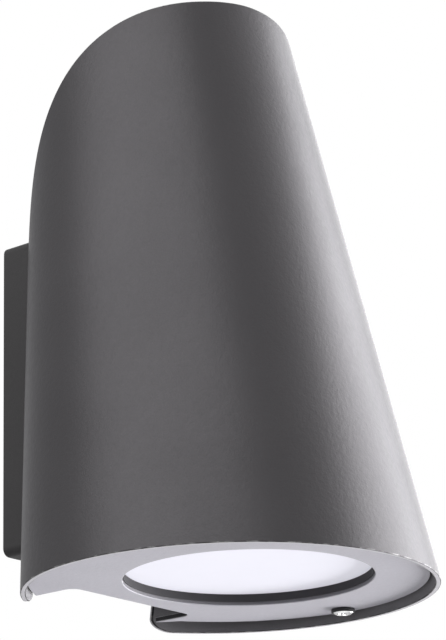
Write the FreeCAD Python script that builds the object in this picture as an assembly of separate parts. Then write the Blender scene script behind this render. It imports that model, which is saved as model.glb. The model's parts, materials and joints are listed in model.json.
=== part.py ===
import FreeCAD, Part
import math
import os

# Outdoor wall downlight. Lengths in millimetres, angles in degrees.
# Origin in the middle of the wall face; the light stands out along -Y; Z is up.

# Hood: a rolled cone, open behind, with its crown cut as an arc in side view.
rim_length = 150.0
hood_height = 218.6
hood_sheet = 2.0
front_lean = 13.46
back_lean = 0.62
edge_lean = 3.05
crown_radius = 101.2
edge_corner = 4.0
edge_to_wall = 14.8
cap_over_box = 3.0

# Wall box and lid.
box_width = 64.0
box_height = 121.0
box_lift = 21.0
box_wall = 3.0
box_corner = 3.0
lid_thickness = 4.0
lid_edge = 1.0
post_radius = 4.0
post_bite = 0.5
wall_screw_pitch = 92.0
wall_screw_hole = 5.5
wall_gasket_inset = 1.2
wall_gasket_width = 3.5
wall_gasket_depth = 1.2
seal_width = 1.6
seal_depth = 2.0

# Rear cable entry.
cable_bore = 9.0
cable_below_screw = 17.0
grommet_wall = 4.5
grommet_collar = 2.5
grommet_lip = 3.0

# Terminal block and earth point inside the wall box.
pole_pitch = 10.0
terminal_side = 6.0
terminal_depth = 16.0
terminal_height = 22.0
terminal_stand = 2.0
terminal_edge = 1.0
clamp_radius = 3.2
clamp_sink = 2.0
clamp_screw_sink = 1.5
clamp_head = 2.0
clamp_slot = 0.6
earth_rise = 13.5
earth_side = 14.0
tag_sheet = 1.0
tag_neck = 3.2
crimp_wall = 0.8
crimp_length = 6.0
crimp_gap = 2.5

# Lens cover.
plate_rise = 3.2
plate_sheet = 2.0
plate_inset = 3.4
plate_forward = 1.2
notch_clear = 1.6
notch_corner = 4.0
lens_border = 22.6
lens_forward = 8.0
lens_overlap = 3.1
lens_thickness = 3.0
lens_edge = 0.4
gasket_thickness = 2.3
ring_sheet = 1.0
ring_flange = 4.0
ring_to_box = 3.5
stud_reach = 7.5
stud_spare = 0.8
ear_radius = 5.0
cover_screw_inset = 9.5
cover_screw_forward = 1.6
peg_neck = 3.0
peg_head = 3.9
peg_head_height = 2.0
peg_edge = 0.6
clip_finger = 0.8
clip_wall = 0.7
clip_slot = 0.8

# Twist-lock lamp and its holder.
lamp_diameter = 75.0
lamp_height = 16.0
lamp_skin = 2.0
lamp_shoulder = 4.0
lamp_front_edge = 3.0
lamp_lens = 1.5
lamp_over_lens = 5.5
board_rise = 8.0
board_sheet = 1.6
hub_diameter = 36.0
hub_height = 4.0
pin_pitch = 53.0
pin_diameter = 3.0
pin_head = 5.0
pin_head_height = 2.0
twist_angle = 18.0
holder_height = 14.0
holder_edge = 1.0
lip_height = 3.0
channel_height = 3.6
contact_sheet = 0.8
holder_screw_reach = 24.0
sink_depth = 4.0

# Bracket, straps, screws and wires.
bracket_sheet = 2.0
bracket_width = 50.0
bracket_bend = 2.8
bracket_lip = 8.0
bracket_end = 6.0
bracket_screw_rise = 36.0
bracket_screw_pitch = 34.0
bracket_head_room = 10.0
pillar_length = 5.5
tab_sheet = 2.0
tab_width = 18.0
tab_edge = 7.5
tab_wall_room = 6.5
screw_size = 4.0
small_screw = 3.0
screw_spare = 1.0
thread_depth = 3.0
wire_diameter = 2.2
wire_bend = 4.0
wire_over_shelf = 3.1
lead_setback = 20.0
lead_tail = 5.5
lead_grommet_wall = 2.5
lead_grommet_collar = 1.5

# Clearances.
slide_gap = 0.3
hole_gap = 0.25
plate_gap = 0.6
box_clear = 1.2
part_gap = 0.5
wire_gap = 0.2

# Values that follow from the driving dimensions.
rim_radius = rim_length / 2
edge_half = box_width / 2 + hood_sheet + box_clear
edge_reach = math.sqrt(rim_radius ** 2 - edge_half ** 2)
wall_to_axis = edge_reach + edge_to_wall
axis_y = -wall_to_axis
rim_z = -box_height / 2 - box_lift
lens_y = axis_y - lens_forward
lens_opening = 2 * (rim_radius - lens_forward - lens_border)
lens_radius = lens_opening / 2 + lens_overlap
flange_radius = lens_radius + ring_flange
box_depth = wall_to_axis - (flange_radius - lens_forward) - ring_to_box
box_front = -box_depth
lid_back = lid_thickness - box_depth
plate_bottom = rim_z + plate_rise
plate_top = plate_bottom + plate_sheet
lens_bottom = plate_top + gasket_thickness
lens_top = lens_bottom + lens_thickness
ring_top = lens_top + ring_sheet
stud_ring = lens_radius + stud_reach
notch_half = box_width / 2 + notch_clear
notch_reach = wall_to_axis - box_depth - notch_clear
cover_screw_x = rim_radius - cover_screw_inset
cover_screw_y = axis_y - cover_screw_forward
lamp_radius = lamp_diameter / 2
lamp_bottom = ring_top + lamp_over_lens
lamp_top = lamp_bottom + lamp_height
board_top = lamp_bottom + board_rise
holder_bottom = lamp_top + slide_gap
holder_radius = lamp_radius + slide_gap
lip_top = holder_bottom + lip_height
channel_top = lip_top + channel_height
shelf_bottom = holder_bottom + holder_height
shelf_top = shelf_bottom + bracket_sheet
bracket_half = bracket_width / 2
bracket_back = box_front - bracket_sheet
bracket_screw_x = bracket_screw_pitch / 2
bracket_screw_z = shelf_top + bracket_screw_rise
nut_radius = 0.875 * screw_size
nut_height = 0.9 * screw_size
small_nut = 0.8 * small_screw
small_nut_across = 1.83 * small_screw
screw_hole = screw_size / 2 + hole_gap
small_hole = small_screw / 2 + hole_gap
lid_screw_x = box_width / 2 - box_wall - post_radius + post_bite
lid_screw_z = box_height / 2 - box_wall - post_radius + post_bite
grommet_radius = cable_bore / 2 + grommet_wall
cable_z = wall_screw_pitch / 2 - cable_below_screw
terminal_back = -box_wall - terminal_stand
terminal_front = terminal_back - terminal_depth
terminal_y = (terminal_back + terminal_front) / 2
terminal_fix_x = pole_pitch / 2
pole_x = [-pole_pitch, 0.0, pole_pitch]
pole_screw_z = [-terminal_height / 4, terminal_height / 4]
clamp_screw_head = 0.8 * small_screw
earth_z = earth_rise - box_height / 2
crimp_radius = wire_diameter / 2 + crimp_wall
crimp_y = terminal_back - crimp_radius
crimp_low = earth_z + screw_size + crimp_gap
lead_y = lens_y + lead_setback
lead_z = shelf_top + wire_over_shelf + wire_diameter / 2
lead_hole = wire_diameter / 2 + lead_grommet_wall

X = FreeCAD.Vector(1, 0, 0)
Y = FreeCAD.Vector(0, 1, 0)
Z = FreeCAD.Vector(0, 0, 1)
SIDES = (-1, 1)


def vec(x, y, z):
    return FreeCAD.Vector(x, y, z)


def block(x0, x1, y0, y1, z0, z1):
    low = vec(min(x0, x1), min(y0, y1), min(z0, z1))
    return Part.makeBox(abs(x1 - x0), abs(y1 - y0), abs(z1 - z0), low)


def rod(radius, length, start, direction):
    return Part.makeCylinder(radius, length, start, direction)


def through(radius, length, point, direction):
    # Drill that runs the same length to both sides of the point.
    return rod(radius, 2 * length, point - direction * length, direction)


def fuse(shapes):
    whole = shapes[0]
    if len(shapes) > 1:
        whole = whole.multiFuse(shapes[1:])
    return whole.removeSplitter()


def cut(shape, tools):
    return shape.cut(Part.makeCompound(tools))


def one_solid(shape):
    return max(shape.Solids, key=lambda solid: solid.Volume)


def straight_edges(shape, direction):
    found = []
    for edge in shape.Edges:
        if edge.Curve.TypeId != "Part::GeomLine":
            continue
        if edge.tangentAt(edge.FirstParameter).cross(direction).Length < 1e-6:
            found.append(edge)
    return found


def circles_at(shape, height):
    return [e for e in shape.Edges if abs(e.BoundBox.ZMin - height) + abs(e.BoundBox.ZMax - height) < 1e-6]


def slab(width, height, corner, y0, y1):
    body = block(-width / 2, width / 2, y0, y1, -height / 2, height / 2)
    return body.makeFillet(corner, straight_edges(body, Y))


def turn(profile):
    # Round body about the lamp axis from its half section.
    points = [vec(r, 0, z) for r, z in profile]
    face = Part.Face(Part.makePolygon(points + points[:1]))
    body = face.revolve(vec(0, 0, 0), Z, 360)
    body.translate(vec(0, lens_y, 0))
    return body


def screw(point, direction, size, length):
    # Pan head behind the point with a cross recess, plain shank ahead of it.
    tall = 0.55 * size
    head = rod(size, tall, vec(0, 0, -tall), Z)
    head = head.makeFillet(0.6 * tall, circles_at(head, -tall))
    shank = rod(size / 2, length, vec(0, 0, 0), Z)
    shank = shank.makeChamfer(0.15 * size, circles_at(shank, length))
    reach = 0.55 * size
    half = 0.14 * size
    cross = [block(-reach, reach, -half, half, -2 * tall, -0.4 * tall)]
    cross.append(block(-half, half, -reach, reach, -2 * tall, -0.4 * tall))
    body = cut(fuse([head, shank]), cross)
    body.Placement = FreeCAD.Placement(point, FreeCAD.Rotation(Z, direction))
    return body


def screws(points, direction, size, length):
    return Part.makeCompound([screw(p, direction, size, length) for p in points])


def hex_nut(point):
    corner = small_nut_across / math.sqrt(3)
    outline = []
    for k in range(7):
        a = math.radians(60 * k)
        outline.append(vec(corner * math.cos(a), corner * math.sin(a), 0))
    body = Part.Face(Part.makePolygon(outline)).extrude(Z * small_nut)
    body = body.cut(rod(small_screw / 2, small_nut, vec(0, 0, 0), Z))
    body.translate(point)
    return body


def wire(points):
    # Round wire along a line of points with its corners bent to one radius.
    edges = []
    last = points[0]
    for before, corner, after in zip(points, points[1:], points[2:]):
        a = (before - corner).normalize()
        b = (after - corner).normalize()
        half = math.acos(a.dot(b)) / 2
        start = corner + a * (wire_bend / math.tan(half))
        end = corner + b * (wire_bend / math.tan(half))
        middle = corner + (a + b).normalize() * (wire_bend / math.sin(half) - wire_bend)
        edges.append(Part.makeLine(last, start))
        edges.append(Part.Arc(start, middle, end).toShape())
        last = end
    edges.append(Part.makeLine(last, points[-1]))
    heading = (points[1] - points[0]).normalize()
    ring = Part.Wire(Part.makeCircle(wire_diameter / 2, points[0], heading))
    return Part.Wire(edges).makePipeShell([ring], True, True)


# Hood, its crown cap and the straps welded inside it.
def hood_cone(inset):
    # Right circular cone of the hood's outside, moved in by the inset.
    front = math.radians(front_lean)
    back = math.radians(back_lean)
    reach = rim_length / (math.tan(front) - math.tan(back))
    apex = vec(0, axis_y + rim_radius + reach * math.tan(back), rim_z + reach)
    lean = (front + back) / 2
    half = (front - back) / 2
    along = vec(0, math.sin(lean), math.cos(lean))
    apex = apex - along * (inset / math.sin(half))
    low = reach / math.cos(lean) + rim_radius
    tip = 0.3 * low
    return Part.makeCone(low * math.tan(half), tip * math.tan(half), low - tip, apex - along * low, along)


def hood_wall_x(height, inset):
    # Half width of the cone at a height, along the front edge of the straps.
    y = axis_y - tab_width / 2
    thin = block(0, 2 * rim_length, y, y + part_gap, height, height + part_gap)
    return hood_cone(inset).common(thin).BoundBox.XMax


def crown():
    # Foot of the straight back edge, its meeting with the crown arc and the arc's centre.
    lean = math.radians(edge_lean)
    low = vec(0, axis_y + edge_reach, rim_z)
    up = vec(0, -math.sin(lean), math.cos(lean))
    out = vec(0, -math.cos(lean), -math.sin(lean))
    top_y = axis_y - rim_radius + hood_height * math.tan(math.radians(front_lean))
    start = low + out * crown_radius - vec(0, top_y, rim_z + hood_height)
    b = start.dot(up)
    step = -b - math.sqrt(b * b - start.dot(start) + crown_radius ** 2)
    return low, low + up * step, low + out * crown_radius + up * step


def hood_profile():
    # Side view of what the hood keeps, drawn out across its whole width.
    low, meet, centre = crown()
    ahead = axis_y - 2 * rim_radius
    turned = (meet - centre).normalize() + Z
    middle = centre + turned.normalize() * crown_radius
    peak = centre + Z * crown_radius
    lines = [Part.makeLine(low, meet), Part.Arc(meet, middle, peak).toShape()]
    lines.append(Part.makeLine(peak, vec(0, ahead, peak.z)))
    lines.append(Part.makeLine(vec(0, ahead, peak.z), vec(0, ahead, low.z)))
    lines.append(Part.makeLine(vec(0, ahead, low.z), low))
    body = Part.Face(Part.Wire(lines)).extrude(X * (2 * rim_length))
    body.translate(X * -rim_length)
    foot = [e for e in straight_edges(body, X) if (e.CenterOfMass - low).Length < 1e-3]
    return body.makeFillet(edge_corner, foot)


def make_hood():
    shell = hood_cone(0).common(hood_profile())
    return one_solid(shell.cut(hood_cone(hood_sheet)))


def make_cap():
    # Bent sheet that closes the crown, set in flush with the hood's cut edge.
    low, meet, centre = crown()
    middle = vec(0, centre.y, centre.z)
    sheet = through(crown_radius, rim_length, middle, X)
    sheet = sheet.cut(through(crown_radius - hood_sheet, rim_length, middle, X))
    low_z = box_height / 2 + cap_over_box
    region = block(-rim_length, rim_length, centre.y, centre.y + 2 * crown_radius, low_z, low_z + hood_height)
    return one_solid(sheet.common(region).common(hood_cone(hood_sheet)))


def shelf_hole_x():
    return hood_wall_x(shelf_top, hood_sheet + tab_sheet) - tab_wall_room


def make_tab(side):
    # Strap on the hood's inside with one foot for the lens cover and one for the shelf.
    inside = hood_cone(hood_sheet)
    y0 = axis_y - tab_width / 2
    y1 = axis_y + tab_width / 2
    far = 2 * rim_length
    top = shelf_top + tab_sheet
    web = inside.common(block(0, far, y0, y1, plate_top, top))
    web = one_solid(web.cut(hood_cone(hood_sheet + tab_sheet)))
    foot = block(cover_screw_x - tab_edge, far, y0, y1, plate_top, plate_top + tab_sheet)
    shelf = block(shelf_hole_x() - tab_edge, far, y0, y1, shelf_top, top)
    body = fuse([web, inside.common(foot), inside.common(shelf)])
    holes = [through(screw_hole, 2 * tab_sheet, vec(cover_screw_x, cover_screw_y, plate_top), Z)]
    holes.append(through(screw_hole, 2 * tab_sheet, vec(shelf_hole_x(), axis_y, top), Z))
    body = one_solid(cut(body, holes))
    if side < 0:
        body = body.mirror(vec(0, 0, 0), X)
    return body


def make_tab_nuts():
    # Weld nuts of the shelf screws on both straps and of the cover screw on the right one.
    points = [vec(side * shelf_hole_x(), axis_y, shelf_top + tab_sheet) for side in SIDES]
    points.append(vec(cover_screw_x, cover_screw_y, plate_top + tab_sheet))
    nuts = []
    for at in points:
        nuts.append(rod(nut_radius, nut_height, at, Z).cut(rod(screw_hole, nut_height, at, Z)))
    return Part.makeCompound(nuts)


def make_peg_clip():
    # Spring clip on the left strap's foot, with slotted fingers under the peg's head.
    low = plate_top + tab_sheet
    at = vec(-cover_screw_x, cover_screw_y, low)
    finger_top = at + Z * clip_finger
    body = rod(nut_radius, nut_height, at, Z)
    body = body.cut(rod(peg_neck / 2 + wire_gap, nut_height, at, Z))
    body = body.cut(rod(peg_head / 2 + slide_gap, nut_height, finger_top, Z))
    reach = nut_radius - clip_wall
    half = clip_slot / 2
    slots = [block(-reach, reach, -half, half, 0, clip_finger)]
    slots.append(block(-half, half, -reach, reach, 0, clip_finger))
    for slot in slots:
        slot.translate(at)
        body = body.cut(slot)
    return one_solid(body)


def make_shelf_screws():
    points = [vec(side * shelf_hole_x(), axis_y, shelf_bottom) for side in SIDES]
    return screws(points, Z, screw_size, bracket_sheet + tab_sheet + nut_height + screw_spare)


# Wall box, lid and what is inside.
def lid_screw_points(y):
    return [vec(sx * lid_screw_x, y, sz * lid_screw_z) for sx in SIDES for sz in SIDES]


def wall_gasket_ring():
    outer_w = box_width - 2 * wall_gasket_inset
    outer_h = box_height - 2 * wall_gasket_inset
    inner_w = outer_w - 2 * wall_gasket_width
    inner_h = outer_h - 2 * wall_gasket_width
    corner = box_corner / 2
    ring = slab(outer_w, outer_h, corner, 0, -wall_gasket_depth)
    return ring.cut(slab(inner_w, inner_h, corner, box_wall, -box_wall))


def make_wall_box():
    body = slab(box_width, box_height, box_corner, 0, lid_back)
    inner = slab(box_width - 2 * box_wall, box_height - 2 * box_wall, box_corner, -box_wall, 2 * lid_back)
    added = [body.cut(inner)]
    room = slab(box_width - box_wall, box_height - box_wall, box_corner, 0, lid_back)
    for at in lid_screw_points(0):
        post = rod(post_radius, -lid_back, at, -Y)
        far_x = math.copysign(box_width, at.x)
        far_z = math.copysign(box_height, at.z)
        filler = block(at.x, far_x, 0, lid_back, at.z, far_z).common(room)
        added.append(fuse([post, filler]))
    fixing = [vec(x, terminal_back, 0) for x in (-terminal_fix_x, terminal_fix_x)]
    earth = vec(earth_side, terminal_back, earth_z)
    half_wall = box_wall / 2
    for at in fixing:
        added.append(rod(small_screw, terminal_stand + half_wall, at, Y))
    added.append(rod(screw_size, terminal_stand + half_wall, earth, Y))
    holes = [wall_gasket_ring()]
    for side in SIDES:
        at = vec(0, 0, side * wall_screw_pitch / 2)
        holes.append(through(wall_screw_hole / 2, 2 * box_wall, at, Y))
    holes.append(through(grommet_radius, 2 * box_wall, vec(0, 0, cable_z), Y))
    for at in lid_screw_points(lid_back):
        holes.append(through(screw_size / 2, lid_screw_grip() + screw_spare, at, Y))
    for at in fixing:
        holes.append(through(small_screw / 2, thread_depth, at, Y))
    holes.append(through(screw_size / 2, thread_depth, earth, Y))
    return one_solid(cut(fuse(added), holes))


def lid_screw_grip():
    return 3 * screw_size


def make_cable_grommet():
    at = vec(0, 0, cable_z)
    mid = rod(grommet_radius, box_wall, at, -Y)
    collar = rod(grommet_radius + grommet_collar, grommet_lip, at - Y * box_wall, -Y)
    inner_y = -box_wall - grommet_lip
    rim = [e for e in collar.Edges if abs(e.BoundBox.YMax - inner_y) + abs(e.BoundBox.YMin - inner_y) < 1e-6]
    body = fuse([mid, collar.makeFillet(grommet_collar / 2, rim)])
    return body.cut(through(cable_bore / 2, 2 * (box_wall + grommet_lip), at, Y))


def make_lid_seal():
    # Cord seal on the middle of the box edge, sunk into the lid.
    mid_w = box_width - box_wall
    mid_h = box_height - box_wall
    ring = slab(mid_w + seal_width, mid_h + seal_width, box_corner, lid_back, lid_back - seal_depth)
    inner = slab(mid_w - seal_width, mid_h - seal_width, box_corner, 0, -2 * box_depth)
    return ring.cut(inner)


def make_box_lid():
    body = slab(box_width, box_height, box_corner, lid_back, box_front)
    front = [e for e in body.Edges if abs(e.BoundBox.YMax - box_front) < 1e-6]
    posts = [body.makeFillet(lid_edge, front)]
    fixing = [vec(side * bracket_screw_x, box_front, bracket_screw_z) for side in SIDES]
    for at in fixing:
        posts.append(rod(screw_size, lid_thickness / 2 + pillar_length, at + Y * (lid_thickness / 2), Y))
    holes = [make_lid_seal()]
    for at in lid_screw_points(lid_back):
        holes.append(through(screw_hole, 2 * lid_thickness, at, Y))
    for at in fixing:
        holes.append(through(screw_size / 2, lid_thickness + pillar_length - screw_spare, at, Y))
    for side in SIDES:
        holes.append(through(lead_hole, 2 * lid_thickness, vec(side * pole_pitch, lid_back, lead_z), Y))
    return one_solid(cut(fuse(posts), holes))


def make_lid_screws():
    return screws(lid_screw_points(box_front), Y, screw_size, lid_thickness + lid_screw_grip())


def make_lid_grommets():
    made = []
    for side in SIDES:
        at = vec(side * pole_pitch, lid_back + lead_grommet_collar, lead_z)
        tube = rod(lead_hole, lead_grommet_collar + lid_thickness + bracket_sheet, at, -Y)
        collar = rod(lead_hole + lead_grommet_collar, lead_grommet_collar, at, -Y)
        made.append(fuse([tube, collar]).cut(through(wire_diameter / 2, box_depth, at, Y)))
    return Part.makeCompound(made)


def make_terminal_block():
    half_w = pole_pitch + terminal_side
    half_h = terminal_height / 2
    body = block(-half_w, half_w, terminal_back, terminal_front, -half_h, half_h)
    body = body.makeFillet(terminal_edge, straight_edges(body, Y))
    cuts = []
    for x in pole_x:
        cuts.append(through(clamp_radius, terminal_height, vec(x, terminal_y, 0), Z))
        for z in pole_screw_z:
            cuts.append(rod(clamp_screw_head, terminal_depth, vec(x, terminal_y, z), -Y))
    for x in (-terminal_fix_x, terminal_fix_x):
        cuts.append(through(small_screw / 2, terminal_depth, vec(x, terminal_y, 0), Y))
    return one_solid(cut(body, cuts))


def make_terminal_clamps():
    made = []
    half = terminal_height / 2 - clamp_sink
    for x in pole_x:
        at = vec(x, terminal_y, 0)
        holes = [through(wire_diameter / 2 + wire_gap, 2 * half, at, Z)]
        for z in pole_screw_z:
            holes.append(rod(small_screw / 2, 2 * clamp_radius, vec(x, terminal_y, z), -Y))
        made.append(cut(through(clamp_radius, half, at, Z), holes))
    return Part.makeCompound(made)


def make_terminal_screws():
    made = []
    y = terminal_front + clamp_screw_sink
    length = terminal_y - wire_diameter / 2 - y
    for x in pole_x:
        for z in pole_screw_z:
            at = vec(x, y, z)
            head = rod(clamp_screw_head - wire_gap, clamp_head, at, Y)
            shank = rod(small_screw / 2, length, at, Y)
            low = z - clamp_slot / 2
            slot = block(x - clamp_radius, x + clamp_radius, y, y + clamp_head / 2, low, low + clamp_slot)
            made.append(fuse([head, shank]).cut(slot))
    return Part.makeCompound(made)


def make_terminal_fixings():
    points = [vec(x, terminal_front, 0) for x in (-terminal_fix_x, terminal_fix_x)]
    return screws(points, Y, small_screw, terminal_depth + thread_depth)


def make_earth_lead():
    # From the middle pole down behind the leads, then straight into the tag's crimp.
    knee = -terminal_height / 2 - wire_bend - wire_diameter
    points = [vec(0, terminal_y, pole_screw_z[0]), vec(0, terminal_y, knee)]
    points += [vec(earth_side, crimp_y, crimp_low + crimp_length + wire_bend)]
    points += [vec(earth_side, crimp_y, crimp_low)]
    return wire(points)


def make_earth_tag():
    at = vec(earth_side, terminal_back, earth_z)
    ring = rod(screw_size, tag_sheet, at, -Y)
    left = earth_side - tag_neck / 2
    high = crimp_low + crimp_length / 2
    neck = block(left, left + tag_neck, terminal_back, terminal_back - tag_sheet, earth_z, high)
    low = vec(earth_side, crimp_y, crimp_low)
    body = fuse([ring, neck, rod(crimp_radius, crimp_length, low, Z)])
    holes = [through(screw_size / 2, 2 * tag_sheet, at, Y), rod(wire_diameter / 2, crimp_length, low, Z)]
    return one_solid(cut(body, holes))


def make_earth_screw():
    at = vec(earth_side, terminal_back - tag_sheet, earth_z)
    return screw(at, Y, screw_size, tag_sheet + thread_depth)


# Lamp bracket, holder and leads.
def make_lamp_bracket():
    top = bracket_screw_z + bracket_head_room
    end = lens_y - holder_screw_reach - bracket_end
    flange = block(-bracket_half, bracket_half, box_front, bracket_back, shelf_bottom, top)
    shelf = block(-bracket_half, bracket_half, box_front, end, shelf_bottom, shelf_top)
    body = fuse([flange, shelf])
    fold = vec(0, box_front, shelf_bottom)
    bend = [e for e in straight_edges(body, X) if (e.CenterOfMass - fold).Length < 1e-3]
    body = body.makeFillet(bracket_bend, bend)
    wing = shelf_hole_x() + tab_wall_room - part_gap
    wing_back = axis_y + tab_width / 2
    parts = [body, block(-wing, wing, axis_y - tab_width / 2, wing_back, shelf_bottom, shelf_top)]
    for side in SIDES:
        x = side * bracket_half
        lip = block(x, x - side * bracket_sheet, box_front, wing_back, shelf_bottom, shelf_top + bracket_lip)
        lip_end = vec(x - side * bracket_sheet / 2, wing_back, shelf_top + bracket_lip)
        slope = [e for e in straight_edges(lip, X) if (e.CenterOfMass - lip_end).Length < 1e-3]
        lip = lip.makeChamfer(bracket_lip - part_gap, slope)
        parts.append(lip.cut(block(-bracket_width, bracket_width, box_front, bracket_back, rim_z, shelf_top)))
    holes = []
    for side in SIDES:
        deep = 2 * bracket_sheet
        holes.append(through(screw_hole, deep, vec(side * shelf_hole_x(), axis_y, shelf_top), Z))
        lead = vec(side * pole_pitch, lead_y, shelf_top)
        holes.append(through(wire_diameter / 2 + part_gap, deep, lead, Z))
        holes.append(through(small_hole, deep, vec(0, lens_y + side * holder_screw_reach, shelf_top), Z))
        holes.append(through(screw_hole, deep, vec(side * bracket_screw_x, box_front, bracket_screw_z), Y))
        holes.append(through(lead_hole, deep, vec(side * pole_pitch, box_front, lead_z), Y))
    return one_solid(cut(fuse(parts), holes))


def make_bracket_screws():
    points = [vec(side * bracket_screw_x, bracket_back, bracket_screw_z) for side in SIDES]
    return screws(points, Y, screw_size, bracket_sheet + lid_thickness + thread_depth)


def arc_bar(half_width, z0, z1, start):
    # Curved bar on the pin circle with round ends, as long as the lamp's twist.
    r = pin_pitch / 2
    corners = [vec(r - half_width, 0, z0), vec(r + half_width, 0, z0)]
    corners += [vec(r + half_width, 0, z1), vec(r - half_width, 0, z1)]
    parts = [Part.Face(Part.makePolygon(corners + corners[:1])).revolve(vec(0, 0, 0), Z, twist_angle)]
    for angle in (0.0, twist_angle):
        a = math.radians(angle)
        parts.append(rod(half_width, z1 - z0, vec(r * math.cos(a), r * math.sin(a), z0), Z))
    body = fuse(parts)
    body.rotate(vec(0, 0, 0), Z, start)
    body.translate(vec(0, lens_y, 0))
    return body


def make_lamp_holder():
    base = vec(0, lens_y, holder_bottom)
    body = rod(holder_radius, holder_height, base, Z)
    body = body.makeChamfer(holder_edge, circles_at(body, holder_bottom) + circles_at(body, shelf_bottom))
    cuts = [rod(hub_diameter / 2 + part_gap, hub_height + part_gap, base, Z)]
    neck = pin_diameter / 2 + slide_gap
    wide = pin_head / 2 + slide_gap
    for start in (0.0, 180.0):
        cuts.append(arc_bar(neck, lamp_top, lip_top + slide_gap, start))
        cuts.append(arc_bar(wide, lip_top, channel_top, start))
        a = math.radians(start + twist_angle)
        entry = vec(pin_pitch / 2 * math.cos(a), lens_y + pin_pitch / 2 * math.sin(a), lamp_top)
        cuts.append(rod(wide, lip_top + slide_gap - lamp_top, entry, Z))
    for side in SIDES:
        at = base + Y * (side * holder_screw_reach)
        cuts.append(through(small_hole, holder_height, at, Z))
        cuts.append(rod(small_screw + part_gap, sink_depth, at, Z))
        lead = vec(side * pole_pitch, lead_y, shelf_bottom - lead_tail)
        cuts.append(rod(wire_diameter / 2, holder_height, lead, Z))
    return one_solid(cut(body, cuts))


def make_holder_contacts():
    low = channel_top - contact_sheet
    return Part.makeCompound([arc_bar(pin_diameter / 2, low, channel_top, start) for start in (0.0, 180.0)])


def holder_screw_points(z):
    return [vec(0, lens_y + side * holder_screw_reach, z) for side in SIDES]


def make_holder_screws():
    length = holder_height - sink_depth + bracket_sheet + small_nut + stud_spare
    return screws(holder_screw_points(holder_bottom + sink_depth), Z, small_screw, length)


def make_holder_nuts():
    return Part.makeCompound([hex_nut(p) for p in holder_screw_points(shelf_top)])


def make_lamp_lead(x):
    points = [vec(x, lead_y, shelf_bottom - lead_tail), vec(x, lead_y, lead_z)]
    points += [vec(x, terminal_y, lead_z), vec(x, terminal_y, pole_screw_z[0])]
    return wire(points)


# Twist-lock lamp.
def make_lamp_body():
    r = lamp_radius
    inner = r - lamp_skin
    ledge = inner - lamp_skin
    hub = hub_diameter / 2
    rim = lamp_bottom + lamp_front_edge
    roof = lamp_top - lamp_skin
    profile = [(0, lamp_top + hub_height), (hub, lamp_top + hub_height), (hub, lamp_top)]
    profile += [(r - lamp_shoulder, lamp_top), (r, lamp_top - lamp_shoulder), (r, rim), (inner, rim)]
    profile += [(inner, board_top), (ledge, board_top), (ledge, lamp_top - lamp_shoulder)]
    profile += [(ledge - lamp_skin, roof), (0, roof)]
    return turn(profile)


def make_lamp_front():
    r = lamp_radius
    inner = r - lamp_skin
    rim = lamp_bottom + lamp_front_edge
    under = board_top - board_sheet
    edge = lamp_lens / 2
    profile = [(0, lamp_bottom), (r - edge, lamp_bottom), (r, lamp_bottom + edge), (r, rim), (inner, rim)]
    profile += [(inner, under), (inner - lamp_lens, under), (inner - lamp_lens, lamp_bottom + lamp_lens)]
    profile += [(0, lamp_bottom + lamp_lens)]
    return turn(profile)


def make_lamp_board():
    return rod(lamp_radius - lamp_skin, board_sheet, vec(0, lens_y, board_top - board_sheet), Z)


def make_lamp_pins():
    made = []
    for side in SIDES:
        foot = vec(side * pin_pitch / 2, lens_y, lamp_top)
        neck = vec(side * pin_pitch / 2, lens_y, lip_top)
        head = rod(pin_head / 2, pin_head_height, neck, Z)
        head = head.makeChamfer(slide_gap, circles_at(head, lip_top + pin_head_height))
        made.append(fuse([rod(pin_diameter / 2, lip_top - lamp_top, foot, Z), head]))
    return Part.makeCompound(made)


# Lens cover.
def make_lens_plate():
    # Flat sheet that follows the hood's inside, notched behind for the wall box.
    wide = block(-rim_length, rim_length, axis_y - rim_length, axis_y + rim_length, plate_bottom, plate_top)
    section = hood_cone(hood_sheet + plate_gap).common(wide)
    face = [f for f in section.Faces if abs(f.CenterOfMass.z - plate_top) < 1e-6][0]
    body = face.extrude(Z * -plate_sheet)
    middle = vec(0, axis_y - plate_forward, plate_bottom)
    body = body.common(rod(rim_radius - plate_inset, plate_sheet, middle, Z))
    low = plate_bottom - plate_sheet
    high = plate_top + plate_sheet
    notch = block(-notch_half, notch_half, axis_y + notch_reach, axis_y + rim_length, low, high)
    inner = [e for e in straight_edges(notch, Z) if e.CenterOfMass.y < axis_y + rim_radius]
    holes = [notch.makeFillet(notch_corner, inner)]
    holes.append(through(lens_opening / 2, 2 * plate_sheet, vec(0, lens_y, plate_top), Z))
    holes.append(through(screw_hole, 2 * plate_sheet, vec(cover_screw_x, cover_screw_y, plate_top), Z))
    return one_solid(cut(body, holes))


def make_cover_peg():
    # Headed peg on the plate's left side that snaps up into the strap's clip.
    at = vec(-cover_screw_x, cover_screw_y, plate_top)
    neck = tab_sheet + clip_finger + wire_gap
    head = rod(peg_head / 2, peg_head_height, at + Z * neck, Z)
    head = head.makeChamfer(peg_edge, circles_at(head, at.z + neck + peg_head_height))
    return one_solid(fuse([rod(peg_neck / 2, neck, at, Z), head]))


def stud_points(z):
    made = []
    for angle in (45, 135, 225, 315):
        a = math.radians(angle)
        made.append(vec(stud_ring * math.cos(a), lens_y + stud_ring * math.sin(a), z))
    return made


def make_plate_studs():
    length = ring_sheet + small_nut + stud_spare
    return Part.makeCompound([rod(small_screw / 2, length, p, Z) for p in stud_points(plate_top)])


def make_lens_gasket():
    inner = lens_opening / 2 + part_gap
    profile = [(inner, plate_top), (lens_radius, plate_top)]
    profile += [(lens_radius, lens_bottom), (inner, lens_bottom)]
    return turn(profile)


def make_lens():
    body = rod(lens_radius, lens_thickness, vec(0, lens_y, lens_bottom), Z)
    return body.makeChamfer(lens_edge, circles_at(body, lens_bottom) + circles_at(body, lens_top))


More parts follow.
